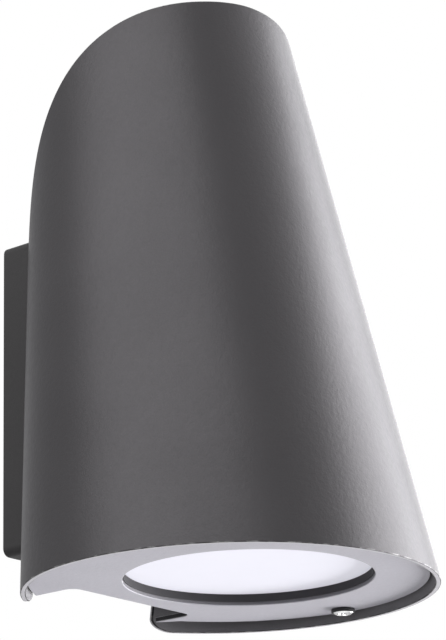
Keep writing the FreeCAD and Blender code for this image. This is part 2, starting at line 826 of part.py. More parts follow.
def make_lens_ring():
    inner = lens_opening / 2 + part_gap
    wall = lens_radius + part_gap
    outer = wall + ring_sheet
    low = plate_top + ring_sheet
    profile = [(inner, lens_top), (wall, lens_top), (wall, plate_top), (flange_radius, plate_top)]
    profile += [(flange_radius, low), (outer, low), (outer, ring_top), (inner, ring_top)]
    parts = [turn(profile)]
    holes = []
    for angle, point in zip((45, 135, 225, 315), stud_points(plate_top)):
        bar = block((outer + flange_radius) / 2, stud_ring, -ear_radius, ear_radius, plate_top, low)
        bar.rotate(vec(0, 0, 0), Z, angle)
        bar.translate(vec(0, lens_y, 0))
        parts += [bar, rod(ear_radius, ring_sheet, point, Z)]
        holes.append(through(small_hole, 2 * ring_sheet, point, Z))
    return one_solid(cut(fuse(parts), holes))


def make_ring_nuts():
    return Part.makeCompound([hex_nut(p) for p in stud_points(plate_top + ring_sheet)])


def make_cover_screw():
    length = plate_sheet + tab_sheet + nut_height + screw_spare
    return screw(vec(cover_screw_x, cover_screw_y, plate_bottom), Z, screw_size, length)


def make_nodes():
    return {
        "hood": make_hood(),
        "hood_cap": make_cap(),
        "hood_tab_left": make_tab(-1),
        "hood_tab_right": make_tab(1),
        "tab_nuts": make_tab_nuts(),
        "peg_clip": make_peg_clip(),
        "shelf_screws": make_shelf_screws(),
        "wall_box": make_wall_box(),
        "wall_gasket": wall_gasket_ring(),
        "cable_grommet": make_cable_grommet(),
        "box_lid": make_box_lid(),
        "lid_seal": make_lid_seal(),
        "lid_screws": make_lid_screws(),
        "lid_grommets": make_lid_grommets(),
        "terminal_block": make_terminal_block(),
        "terminal_clamps": make_terminal_clamps(),
        "terminal_screws": make_terminal_screws(),
        "terminal_fixings": make_terminal_fixings(),
        "earth_lead": make_earth_lead(),
        "earth_tag": make_earth_tag(),
        "earth_screw": make_earth_screw(),
        "lamp_bracket": make_lamp_bracket(),
        "bracket_screws": make_bracket_screws(),
        "lamp_holder": make_lamp_holder(),
        "holder_contacts": make_holder_contacts(),
        "holder_screws": make_holder_screws(),
        "holder_nuts": make_holder_nuts(),
        "lead_live": make_lamp_lead(-pole_pitch),
        "lead_neutral": make_lamp_lead(pole_pitch),
        "lamp_body": make_lamp_body(),
        "lamp_front": make_lamp_front(),
        "lamp_board": make_lamp_board(),
        "lamp_pins": make_lamp_pins(),
        "lens_plate": make_lens_plate(),
        "plate_studs": make_plate_studs(),
        "cover_peg": make_cover_peg(),
        "lens_gasket": make_lens_gasket(),
        "lens": make_lens(),
        "lens_ring": make_lens_ring(),
        "ring_nuts": make_ring_nuts(),
        "cover_screw": make_cover_screw(),
    }


os.makedirs("parts", exist_ok=True)
for name, shape in make_nodes().items():
    shape.exportStep("parts/" + name + ".step")
    print(name, len(shape.Solids), shape.isValid(), round(shape.Volume))
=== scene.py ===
import itertools
import json
import math

import bmesh
import bpy
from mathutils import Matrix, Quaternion, Vector


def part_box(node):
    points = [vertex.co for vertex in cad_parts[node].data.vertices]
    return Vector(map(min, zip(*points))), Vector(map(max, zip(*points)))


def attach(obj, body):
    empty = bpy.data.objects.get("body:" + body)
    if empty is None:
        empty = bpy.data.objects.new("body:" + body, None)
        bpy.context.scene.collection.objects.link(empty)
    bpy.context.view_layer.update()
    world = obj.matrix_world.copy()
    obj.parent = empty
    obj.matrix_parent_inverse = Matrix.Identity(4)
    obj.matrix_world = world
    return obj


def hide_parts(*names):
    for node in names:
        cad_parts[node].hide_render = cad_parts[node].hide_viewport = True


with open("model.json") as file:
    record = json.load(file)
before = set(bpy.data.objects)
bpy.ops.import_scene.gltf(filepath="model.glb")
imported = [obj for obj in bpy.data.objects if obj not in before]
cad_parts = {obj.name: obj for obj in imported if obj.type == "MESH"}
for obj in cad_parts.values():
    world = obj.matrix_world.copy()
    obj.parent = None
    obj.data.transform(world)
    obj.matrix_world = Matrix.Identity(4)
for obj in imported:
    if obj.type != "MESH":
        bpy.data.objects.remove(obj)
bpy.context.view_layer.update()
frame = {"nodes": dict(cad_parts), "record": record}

bl_info = {
    "name": "Wall downlight",
    "version": (1, 0, 0),
    "blender": (4, 5, 0),
    "location": "3D View > Sidebar > Downlight",
    "description": "Looks of an outdoor wall downlight around its fixed frame",
    "category": "Object",
}

NODES = frame["nodes"]
HOOD_LOW, HOOD_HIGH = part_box("hood")
PLATE_LOW, PLATE_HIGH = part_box("lens_plate")
LENS_LOW, LENS_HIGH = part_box("lens")
X = Vector((1, 0, 0))
Y = Vector((0, 1, 0))
Z = Vector((0, 0, 1))
SQUARE = ((1, 1), (-1, 1), (-1, -1), (1, -1))
# Rounded quarter from a wall to a face, as shares of the edge's radius.
QUARTER = [(1.0, 0.0), (0.617, 0.076), (0.293, 0.293), (0.076, 0.617), (0.0, 1.0)]
# A gap that keeps two skins from lying in each other, and a length that counts as none.
SNUG = 0.00005
TINY = 1e-7
# A pan head's height against its screw's thread size.
HEAD_TALL = 0.55
# Panels of light: name, power's setting, place, width, height and roll in degrees.
PANELS = [
    ("side_light", "key", (1.125, -0.715, 0.05), 1.5, 1.9, 10.0),
    ("back_light", "back", (1.15, 0.62, 0.60), 1.0, 1.0, 0.0),
    ("fill_light", "fill", (-1.19, -0.12, 0.92), 2.5, 1.2, 30.0),
    ("low_light", "low", (0.45, -0.60, -0.75), 0.7, 0.7, 0.0),
]
LIT_POINT = Vector((0.0, -0.08, 0.02))
FLOOR_REACH = 40.0


# Sizes and colours that a user would change.
def setting(kind, **fixed):
    """A maker of settings of one kind, each with its own name, description and default."""
    def make(name, note, default):
        return kind(name=name, description=note, default=default, **fixed)
    return make


length = setting(bpy.props.FloatProperty, unit="LENGTH", precision=5)
lean = setting(bpy.props.FloatProperty, subtype="ANGLE")
share = setting(bpy.props.FloatProperty, subtype="FACTOR", min=0.0, max=1.0)
level = setting(bpy.props.FloatProperty, min=0.0)
watts = setting(bpy.props.FloatProperty, unit="POWER", min=0.0)
focal = setting(bpy.props.FloatProperty, unit="CAMERA", min=1.0)
count = setting(bpy.props.IntProperty, min=3)
colour = setting(bpy.props.FloatVectorProperty, subtype="COLOR", size=3, min=0.0, max=1.0)
place = setting(bpy.props.FloatVectorProperty, subtype="TRANSLATION", unit="LENGTH", size=3)
facing = setting(bpy.props.FloatVectorProperty, subtype="EULER", size=3)


class HoodSizes(bpy.types.PropertyGroup):
    rim_length: length("Rim length", "Front to back of the whole rim", 0.150)
    height: length("Height", "Rim to the top of the crown", HOOD_HIGH.z - HOOD_LOW.z)
    sheet: length("Sheet", "Thickness of the sheet", 0.002)
    front_lean: lean("Front lean", "Lean of the front line of the cone", math.radians(13.46))
    back_lean: lean("Back lean", "Lean of the back line of the cone", math.radians(0.62))
    edge_lean: lean("Edge lean", "Lean of the straight rear edges", math.radians(3.05))
    crown_radius: length("Crown radius", "Radius of the crown's arc in side view", 0.1012)
    shoulder: length("Shoulder", "How far the crown stands out of a true arc at its shoulder", 0.0014)
    tip_rise: length("Tip rise", "How far the crown stands out of a true arc at its front tip", 0.0010)
    foot_corner: length("Foot corner", "Corner radius at the foot of the rear edges", 0.0048)
    foot_gap: length("Foot gap", "Gap between the wall and the feet of the rear edges", 0.0139)
    edge_cut: share("Edge cut", "Shortfall of the inner skin at the rear edges, against its depth", 0.9)
    edge_to_wall: length("Edge to wall", "Gap between the wall and the rim's circle at its rear", 0.0148)
    edge_half: length("Edge half", "Half the width of the rim's circle at its rear", 0.0352)
    edge_round: length("Edge round", "Rounding of the cut edges", 0.00035)
    cap_foot: length("Cap foot", "Lower end of the crown cap above the origin", 0.0635)
    seam: length("Seam", "Joint between the crown cap and the hood", 0.00012)


class CoverSizes(bpy.types.PropertyGroup):
    opening: length("Lens opening", "Width of the round opening in the plate", 0.0896)
    opening_forward: length("Opening forward", "How far the opening sits forward of the lens", 0.0003)
    plate_gap: length("Plate gap", "Gap between the plate and the hood's inside", 0.0006)
    right_inset: length("Right inset", "How far the plate's right side stays inside the rim", 0.0044)
    left_inset: length("Left inset", "How far the plate's left side stays inside the rim", 0.0)
    plate_forward: length("Plate forward", "How far the plate's circle sits forward", 0.0040)
    wing_gap: length("Wing gap", "Gap between the plate's two rear tips and the wall", 0.0173)
    wing_width: length("Wing width", "Width over which the rear tips taper", 0.0055)
    wing_round: length("Wing round", "Rounding of the plate's two rear tips", 0.0012)
    notch_half: length("Notch half", "Half width of the notch for the wall box", 0.0331)
    notch_front: length("Notch front", "Distance of the notch's front from the wall", 0.03563)
    notch_corner: length("Notch corner", "Corner radius of the notch", 0.004)
    screw_hole: length("Screw hole", "Radius of the cover screw's hole", 0.00225)
    edge_round: length("Edge round", "Rounding of the plate's edges", 0.0003)
    lip: length("Seal lip", "Thickness of the seal's lip in the opening", 0.0004)
    lip_up: length("Lip up", "How far the lip's end stays above the plate's underside", 0.0014)
    lip_round: length("Lip round", "Rounding of the seal's edges", 0.0002)
    lens_round: length("Lens round", "Rounding of the lens's edge", 0.0005)
    lens_dish: length("Lens dish", "Depth of the dished upper side of the lens", 0.0008)
    lens_rim: length("Lens rim", "Width of the lens's rim inside the seal's lip", 0.0015)


class FastenerSizes(bpy.types.PropertyGroup):
    screw: length("Screw", "Thread size of the larger screws", 0.004)
    small_screw: length("Small screw", "Thread size of the smaller screws and studs", 0.003)
    pitch: length("Thread pitch", "Rise of one thread turn on the larger screws", 0.0007)
    recess: share("Recess", "Depth of the cross recess against the head's height", 0.62)
    flats: length("Nut flats", "Width across the small nuts' flats", 0.00549)
    stud_pitch: length("Stud pitch", "Rise of one thread turn on the studs", 0.00049)
    # Painted shade: the dark ring at the cover screw stands in for the shaded side of its head.
    shade_collar_round: length("Collar round", "Rounding of the rubber ring at the cover screw", 0.0003)


class LampSizes(bpy.types.PropertyGroup):
    hub: length("Hub", "Radius of the raised middle of the housing", 0.018)
    hub_rise: length("Hub rise", "How far the middle stands up", 0.004)
    shoulder: length("Shoulder", "Slope at the housing's upper edge", 0.004)
    wall: length("Wall", "Thickness of the housing", 0.002)
    flange: length("Flange", "Height of the flange at the housing's foot", 0.0006)
    edge_round: length("Edge round", "Rounding of the housing's edges", 0.0005)
    ribs: count("Ribs", "Ribs round the lamp's housing", 64)
    rib_depth: length("Rib depth", "How far the ribs stand out", 0.0009)
    rib_width: length("Rib width", "Width of a rib", 0.0013)
    emitters: count("Emitters", "Light emitters on the board", 18)
    emitter_ring: length("Emitter ring", "Radius of the ring of emitters", 0.026)


class SealSizes(bpy.types.PropertyGroup):
    width: length("Seal width", "Width of the foam strip behind the wall box", 0.0035)
    corner: length("Seal corner", "Radius of the strip's outer corners", 0.0024)


class Finishes(bpy.types.PropertyGroup):
    hood: colour("Hood", "Graphite powder coat of the hood", (0.0475, 0.0455, 0.048))
    # Painted light: the inside has the same graphite paint as the outside, and this lighter colour stands
    # in for light reaching the inner walls.
    inside: colour("Hood inside", "Powder coat on the inside of the hood", (0.200, 0.195, 0.207))
    box: colour("Wall box", "Matt powder coat of the wall box", (0.027, 0.026, 0.027))
    plate: colour("Plate", "Light grey powder coat of the cover plate", (0.44, 0.43, 0.475))
    # Painted shade: a darker copy of the plate paint on the opening's wall, standing in for the wall in
    # shade.
    opening_edge: colour("Opening edge", "Thin coat on the wall of the lens opening", (0.19, 0.185, 0.20))
    # Painted glow: the lens colour is kept low and its own emission adds most of its brightness, standing
    # in for even light on the unlit lens.
    lens: colour("Lens", "Opal lens", (0.48, 0.476, 0.524))
    lens_painted_glow: level("Lens glow", "Light of the lens itself", 0.85)
    cut_edge: colour("Cut edge", "Light cut edge of the sheet", (0.50, 0.49, 0.52))


class StageSettings(bpy.types.PropertyGroup):
    camera_place: place("Camera place", "Where the camera stands", (-0.69266, -0.63085, -0.27708))
    camera_turn: facing(
        "Camera turn", "How the camera is turned",
        (math.radians(108.6005), math.radians(1.4392), math.radians(-51.0628)),
    )
    camera_lens: focal("Camera lens", "Focal length on a 36 mm sensor", 142.36)
    floor_white: share("Floor white", "How far the floor is seen as the white background", 0.62)
    floor_drop: length("Floor drop", "How far the floor lies below the origin", 1.9)
    world: level("World", "Even light from all round", 0.10)
    key: watts("Side light", "Large panel to the right of the downlight", 116.0)
    back: watts("Back light", "Panel to the right, above and behind", 10.0)
    fill: watts("Fill light", "Panel above and to the left of the camera", 38.5)
    low: watts("Low light", "Panel under the downlight", 0.3)


# Shader sums. A wire stands for a socket; sums of wires and numbers become Math nodes.
class Wire:
    def __init__(self, nodes, socket):
        self.nodes = nodes
        self.socket = socket

    def sum(self, operation, first, second):
        return self.nodes.add("ShaderNodeMath", {"operation": operation}, {0: first, 1: second})

    def __add__(self, other):
        return self.sum("ADD", self, other)

    def __radd__(self, other):
        return self.sum("ADD", other, self)

    def __sub__(self, other):
        return self.sum("SUBTRACT", self, other)

    def __rsub__(self, other):
        return self.sum("SUBTRACT", other, self)

    def __mul__(self, other):
        return self.sum("MULTIPLY", self, other)

    def __rmul__(self, other):
        return self.sum("MULTIPLY", other, self)


class Nodes:
    """Makes the nodes of one tree."""

    def __init__(self, tree):
        self.tree = tree
        self.tree.nodes.clear()

    def add(self, kind, settings=None, sockets=None, out=0):
        node = self.tree.nodes.new(kind)
        for key, value in (settings or {}).items():
            if key == "stops":
                ramp = node.color_ramp.elements
                for k, (where, shade) in enumerate(value):
                    stop = ramp[k] if k < len(ramp) else ramp.new(where)
                    stop.position = where
                    stop.color = (shade, shade, shade, 1.0)
            else:
                setattr(node, key, value)
        for key, value in (sockets or {}).items():
            if isinstance(value, Wire):
                self.tree.links.new(value.socket, node.inputs[key])
            else:
                node.inputs[key].default_value = value
        if not node.outputs:
            return None
        return Wire(self, node.outputs[out])

    def noise(self, here, scale, detail=2.0, rough=0.5):
        sockets = {"Vector": here, "Scale": scale, "Detail": detail, "Roughness": rough}
        return self.add("ShaderNodeTexNoise", None, sockets, "Fac")

    def ramp(self, value, *stops):
        return self.add("ShaderNodeValToRGB", {"stops": stops}, {"Fac": value})

    def blend(self, share_of_second, first, second):
        sockets = {0: share_of_second, 6: first, 7: second}
        return self.add("ShaderNodeMix", {"data_type": "RGBA"}, sockets, 2)

    def tinted(self, shade, tone):
        return self.add("ShaderNodeVectorMath", {"operation": "SCALE"}, {0: shade, "Scale": tone})

    def stretched(self, here, scale):
        return self.add("ShaderNodeMapping", None, {"Vector": here, "Scale": scale})


def surface(nodes, shade, rough, height, depth, **fixed):
    """Closes a finish: colour, roughness and bump vary, and the rest is the same all over."""
    bump = nodes.add("ShaderNodeBump", None, {"Height": height, "Distance": depth}, "Normal")
    sockets = {"Base Color": shade, "Roughness": rough, "Normal": bump}
    sockets.update({key.replace("_", " "): value for key, value in fixed.items()})
    shader = nodes.add("ShaderNodeBsdfPrincipled", None, sockets)
    nodes.add("ShaderNodeOutputMaterial", None, {"Surface": shader})


def wear_mask(nodes, here):
    """Rubbed patches on the rounded edges of a piece."""
    edge = nodes.add("ShaderNodeAttribute", {"attribute_name": "wear"}, None, "Fac")
    return edge * nodes.ramp(nodes.noise(here, 310.0, 4.0), (0.46, 0.0), (0.66, 1.0))


def powder_coat(nodes, here, shade, rough=0.42, edge=0.32, **fixed):
    """Baked powder paint: fine grain, faint orange peel, soft clouds and rubbed edges."""
    cloud = nodes.noise(here, 24.0, 3.0)
    peel = nodes.noise(here, 520.0, 2.0)
    speck = nodes.noise(here, 1500.0, 2.0)
    tone = 0.80 + 0.22 * cloud + 0.18 * speck
    coat = nodes.tinted(shade, tone)
    worn = wear_mask(nodes, here)
    coat = nodes.blend(worn * 0.55, coat, (edge, edge, edge, 1.0))
    gloss = rough - 0.04 + 0.10 * peel - 0.04 * cloud - 0.10 * worn
    surface(nodes, coat, gloss, 0.6 * speck + peel, 0.00006, **fixed)


def worked_metal(nodes, here, shade, rough=0.3, along=(1.0, 1.0, 12.0), stain=0.1, **fixed):
    """Bare or plated metal: draw lines along one way, dull stains and brighter edges."""
    lines = nodes.noise(nodes.stretched(here, along), 900.0, 3.0)
    cloud = nodes.noise(here, 160.0, 3.0)
    tone = 1.0 - stain + stain * cloud + 0.14 * lines - 0.07
    metal = nodes.tinted(shade, tone)
    metal = nodes.blend(wear_mask(nodes, here) * 0.5, metal, (0.92, 0.92, 0.92, 1.0))
    gloss = rough - 0.06 + 0.12 * lines + 0.10 * cloud
    surface(nodes, metal, gloss, lines, 0.00002, Metallic=1.0, **fixed)


def moulding(nodes, here, shade, rough=0.38, spread=0.10, **fixed):
    """Moulded plastic or rubber: even colour with faint flow clouds and a fine eroded grain."""
    cloud = nodes.noise(here, 70.0, 3.0)
    speck = nodes.noise(here, 1100.0, 3.0, 0.6)
    plastic = nodes.tinted(shade, 1.0 - spread + spread * cloud + 0.5 * spread * speck)
    plastic = nodes.blend(wear_mask(nodes, here) * 0.2, plastic, (0.75, 0.75, 0.75, 1.0))
    gloss = rough - 0.05 + 0.07 * cloud + 0.06 * speck
    surface(nodes, plastic, gloss, speck, 0.00003, **fixed)


def opal(nodes, here, shade, rough=0.22, glow=0.0, **fixed):
    """Opal diffuser: milky body with faint clouds under a smooth skin, and a painted glow where one is
    given.
    """
    cloud = nodes.noise(here, 34.0, 3.0)
    speck = nodes.noise(here, 2600.0, 1.0)
    milk = nodes.tinted(shade, 0.96 + 0.05 * cloud + 0.01 * speck)
    gloss = rough + 0.05 * cloud
    # Painted glow: emission that stands in for light falling evenly on the lens, though its lamp is off.
    fixed["Emission_Color"] = milk
    fixed["Emission_Strength"] = glow
    surface(nodes, milk, gloss, speck, 0.000008, **fixed)


def foam(nodes, here, shade, **fixed):
    """Closed-cell foam: small cells with thin walls."""
    sockets = {"Vector": here, "Scale": 1500.0}
    cells = nodes.add("ShaderNodeTexVoronoi", None, sockets, "Distance")
    cloud = nodes.noise(here, 90.0, 3.0)
    body = nodes.tinted(shade, 0.7 + 0.5 * cells + 0.3 * cloud)
    surface(nodes, body, 0.82 + 0.1 * cloud, cells, 0.00012, **fixed)


def insulation(nodes, here, shade, stripe=None, **fixed):
    """Wire insulation with faint draw lines, and a second colour where it is striped."""
    lines = nodes.noise(here, 700.0, 2.0)
    skin = nodes.tinted(shade, 0.86 + 0.28 * lines)
    if stripe:
        sockets = {"Vector": here, "Scale": 70.0, "Distortion": 0.0}
        bands = nodes.add("ShaderNodeTexWave", {"bands_direction": "X"}, sockets, "Fac")
        skin = nodes.blend(nodes.ramp(bands, (0.48, 0.0), (0.52, 1.0)), skin, stripe)
    surface(nodes, skin, 0.36 + 0.12 * lines, lines, 0.00002, **fixed)


def circuit_board(nodes, here, shade, **fixed):
    """White solder mask over faintly raised copper fields."""
    sockets = {"Vector": here, "Scale": 130.0}
    fields = nodes.add("ShaderNodeTexVoronoi", {"feature": "DISTANCE_TO_EDGE"}, sockets, "Distance")
    raised = nodes.ramp(fields, (0.03, 0.0), (0.06, 1.0))
    speck = nodes.noise(here, 1800.0, 2.0)
    mask = nodes.tinted(shade, 0.88 + 0.08 * raised + 0.05 * speck)
    surface(nodes, mask, 0.34 + 0.1 * speck, raised, 0.00004, **fixed)


METALLIC_PAINT = {
    "rough": 0.42,
    "Metallic": 0.45,
    "Specular_IOR_Level": 0.15,
    "Specular_Tint": (0.5, 0.5, 0.52, 1.0),
}


def recipes():
    """Each finish by its material slot: how it is made and its own values."""
    own = bpy.context.scene.downlight_finishes
    return {
        "hood_paint": (powder_coat, own.hood, METALLIC_PAINT),
        "box_paint": (powder_coat, own.box, {"rough": 0.6, "edge": 0.2, "Specular_IOR_Level": 0.15}),
        "plate_paint": (powder_coat, own.plate, {"rough": 0.5, "edge": 0.5, "Specular_IOR_Level": 0.2}),
        # Painted shade: the plate paint made darker for the opening's wall.
        "opening_edge": (powder_coat, own.opening_edge, {"rough": 0.55, "Specular_IOR_Level": 0.2}),
        # Painted light: the hood paint made lighter for the inner walls.
        "hood_inside": (powder_coat, own.inside, {"rough": 0.55, "Specular_IOR_Level": 0.2}),
        "cut_edge": (powder_coat, own.cut_edge, {"rough": 0.5, "edge": 0.6, "Specular_IOR_Level": 0.2}),
        # The lens's painted glow brightens it evenly while its lamp is off.
        "opal": (opal, own.lens, {"rough": 0.5, "glow": own.lens_painted_glow, "Specular_IOR_Level": 0.1}),
        "lamp_opal": (opal, (0.90, 0.90, 0.88), {"rough": 0.3}),
        "lamp_white": (moulding, (0.80, 0.80, 0.78), {}),
        "holder_white": (moulding, (0.72, 0.72, 0.69), {"rough": 0.5}),
        "black_rubber": (moulding, (0.022, 0.022, 0.024), {"rough": 0.62, "spread": 0.4}),
        # Dark rubber: the real seal lip of the lens, and painted shade on the cover plate's outer edge
        # wall.
        "seal_rubber": (moulding, (0.060, 0.058, 0.062), {"rough": 0.7, "Specular_IOR_Level": 0.1}),
        "grey_foam": (foam, (0.075, 0.075, 0.078), {}),
        "zinc": (worked_metal, (0.60, 0.61, 0.63), {"rough": 0.34, "stain": 0.22}),
        "stainless": (worked_metal, (0.66, 0.66, 0.67), {"rough": 0.2}),
        "bare_aluminium": (worked_metal, (0.76, 0.77, 0.78), {"along": (1.0, 14.0, 14.0)}),
        "board": (circuit_board, (0.80, 0.81, 0.80), {}),
        "brass": (worked_metal, (0.72, 0.56, 0.27), {"rough": 0.28, "stain": 0.25}),
        "terminal_plastic": (moulding, (0.68, 0.67, 0.60), {"rough": 0.45}),
        "brown_wire": (insulation, (0.16, 0.075, 0.035), {}),
        "blue_wire": (insulation, (0.05, 0.14, 0.40), {}),
        "earth_wire": (insulation, (0.10, 0.34, 0.08), {"stripe": (0.72, 0.62, 0.05, 1.0)}),
        "emitter": (moulding, (0.82, 0.66, 0.16), {"rough": 0.3, "spread": 0.2}),
    }


def finish(name):
    """The material of that finish, made on first use."""
    made = bpy.data.materials.get("finish_" + name)
    if made is None:
        make, shade, values = recipes()[name]
        made = bpy.data.materials.new("finish_" + name)
        made.use_nodes = True
        nodes = Nodes(made.node_tree)
        here = nodes.add("ShaderNodeTexCoord", None, None, "Object")
        make(nodes, here, tuple(shade), **values)
    return made


SLOT_OF = {row["node"]: row["material_slot"] for row in frame["record"]["subparts"]}


# Pieces.
def plain(holder):
    """Turns what an object's modifiers make into its own plain mesh."""
    bpy.context.view_layer.update()
    seen = bpy.context.evaluated_depsgraph_get()
    mesh = bpy.data.meshes.new_from_object(holder.evaluated_get(seen), depsgraph=seen)
    holder.modifiers.clear()
    old = holder.data
    holder.data = mesh
    bpy.data.meshes.remove(old)
    mesh.name = holder.name
    return holder


def held(name, mesh):
    holder = bpy.data.objects.new(name, mesh)
    bpy.context.scene.collection.objects.link(holder)
    return holder


def settle(piece, body, nodes=()):
    """Puts a finished piece on its body, in place of the nodes that it stands for."""
    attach(piece, body)
    if nodes:
        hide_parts(*nodes)
    return piece


def shaped(name, bm, finishes):
    """A smooth shaded object from a bmesh, its faces turned outwards and flat ones kept flat."""
    bmesh.ops.recalc_face_normals(bm, faces=bm.faces)
    mesh = bpy.data.meshes.new(name)
    bm.to_mesh(mesh)
    bm.free()
    for kind in finishes:
        mesh.materials.append(finish(kind))
    mesh.shade_smooth()
    holder = held(name, mesh)
    weigh = holder.modifiers.new("flats", "WEIGHTED_NORMAL")
    weigh.mode = "FACE_AREA"
    weigh.weight = 90
    weigh.keep_sharp = False
    return plain(holder)


def wear_layer(bm):
    return bm.faces.layers.float.get("wear") or bm.faces.layers.float.new("wear")


def strips(bm, rings, closed=True, kind=0, worn=0.0):
    """Quads between rows of vertices that follow each other."""
    wear = wear_layer(bm)
    for low, high in zip(rings, rings[1:]):
        last = len(low) if closed else len(low) - 1
        for k in range(last):
            n = (k + 1) % len(low)
            face = bm.faces.new((low[k], low[n], high[n], high[k]))
            face.material_index = kind
            face[wear] = worn


def edge_strips(bm, rings, kind):
    """Sheet's edge from skin to skin: rounded quarter, wall of its own finish, rounded quarter."""
    half = len(QUARTER)
    strips(bm, rings[:half], True, 0, 1.0)
    strips(bm, rings[half - 1:half + 1], True, kind)
    strips(bm, rings[half:], True, 0, 1.0)


def verts(bm, points):
    return [bm.verts.new(point) for point in points]


def tube(rows, flat_ends=True):
    """Closed body over rings of points, with flat ends or, as a ring, with its ends joined."""
    bm = bmesh.new()
    rows = [verts(bm, row) for row in rows]
    if flat_ends:
        bm.faces.new(rows[0])
        bm.faces.new(rows[-1])
    strips(bm, rows if flat_ends else rows + rows[:1])
    return bm


def turned(name, kind, profile, edge, centre, steps=128):
    """Round piece about an upright line, from its closed half section with rounded corners."""
    bm = bmesh.new()
    wear_layer(bm)
    rings = []
    for radius, height in rounded(profile, edge):
        if radius < TINY:
            rings.append(verts(bm, [(centre.x, centre.y, height)]))
            continue
        ring = []
        for k in range(steps):
            a = 2 * math.pi * k / steps
            ring.append((centre.x + radius * math.cos(a), centre.y + radius * math.sin(a), height))
        rings.append(verts(bm, ring))
    for low, high in zip(rings, rings[1:] + rings[:1]):
        if len(low) == len(high) == 1:
            continue
        for k in range(steps):
            n = (k + 1) % steps
            corners = [low[k % len(low)], low[n % len(low)], high[n % len(high)], high[k % len(high)]]
            bm.faces.new(list(dict.fromkeys(corners)))
    return shaped(name, bm, [kind])


def bend(start, corner, end, steps):
    """Points of a smooth bend from start to end that leans into the corner."""
    made = []
    for k in range(steps + 1):
        t = k / steps
        made.append((1 - t) ** 2 * start + 2 * t * (1 - t) * corner + t * t * end)
    return made


def rounded(profile, radius, steps=3):
    """A half section with its corners off the axis rounded."""
    made = []
    total = len(profile)
    for k, spot in enumerate(profile):
        corner = Vector(spot)
        before = Vector(profile[k - 1]) - corner
        after = Vector(profile[(k + 1) % total]) - corner
        room = min(radius, 0.45 * before.length, 0.45 * after.length)
        if corner.x < TINY or room < TINY:
            made.append(spot)
            continue
        start = corner + before.normalized() * room
        end = corner + after.normalized() * room
        made += [tuple(point) for point in bend(start, corner, end, steps)]
    return made


def offset_line(points, step):
    """A closed line of flat points moved to its left by a step."""
    moved = []
    total = len(points)
    for k, point in enumerate(points):
        a = (point - points[k - 1]).normalized()
        b = (points[(k + 1) % total] - point).normalized()
        left = Vector((-a.y - b.y, a.x + b.x))
        if left.length < TINY:
            left = Vector((-a.y, a.x))
        left.normalize()
        square = max(0.5, left.dot(Vector((-a.y, a.x))))
        moved.append(point + left * (step / square))
    return moved


def sheet_solid(bm, outline, holes, low, high, edge, kinds):
    """Flat sheet between two heights with rounded edges, from its outline and its holes."""
    rows = [(edge * inward, low + edge * rise) for inward, rise in QUARTER]
    rows += [(edge * inward, high - edge * rise) for inward, rise in reversed(QUARTER)]
    skins = {low: [], high: []}
    for line, kind in zip([outline] + holes, kinds):
        rings = []
        for inward, height in rows:
            rings.append(verts(bm, [(p.x, p.y, height) for p in offset_line(line, inward)]))
        edge_strips(bm, rings, kind)
        skins[low].append(rings[0])
        skins[high].append(rings[-1])
    for rings in skins.values():
        edges = []
        for ring in rings:
            for a, b in zip(ring, ring[1:] + ring[:1]):
                edges.append(bm.edges.get((a, b)))
        bmesh.ops.triangle_fill(bm, use_beauty=True, use_dissolve=False, edges=edges)


def circle(x, y, radius, steps):
    """Closed round line that runs clockwise, so that its left is away from its middle."""
    made = []
    for k in range(steps):
        a = -2 * math.pi * k / steps
        made.append(Vector((x + radius * math.cos(a), y + radius * math.sin(a))))
    return made


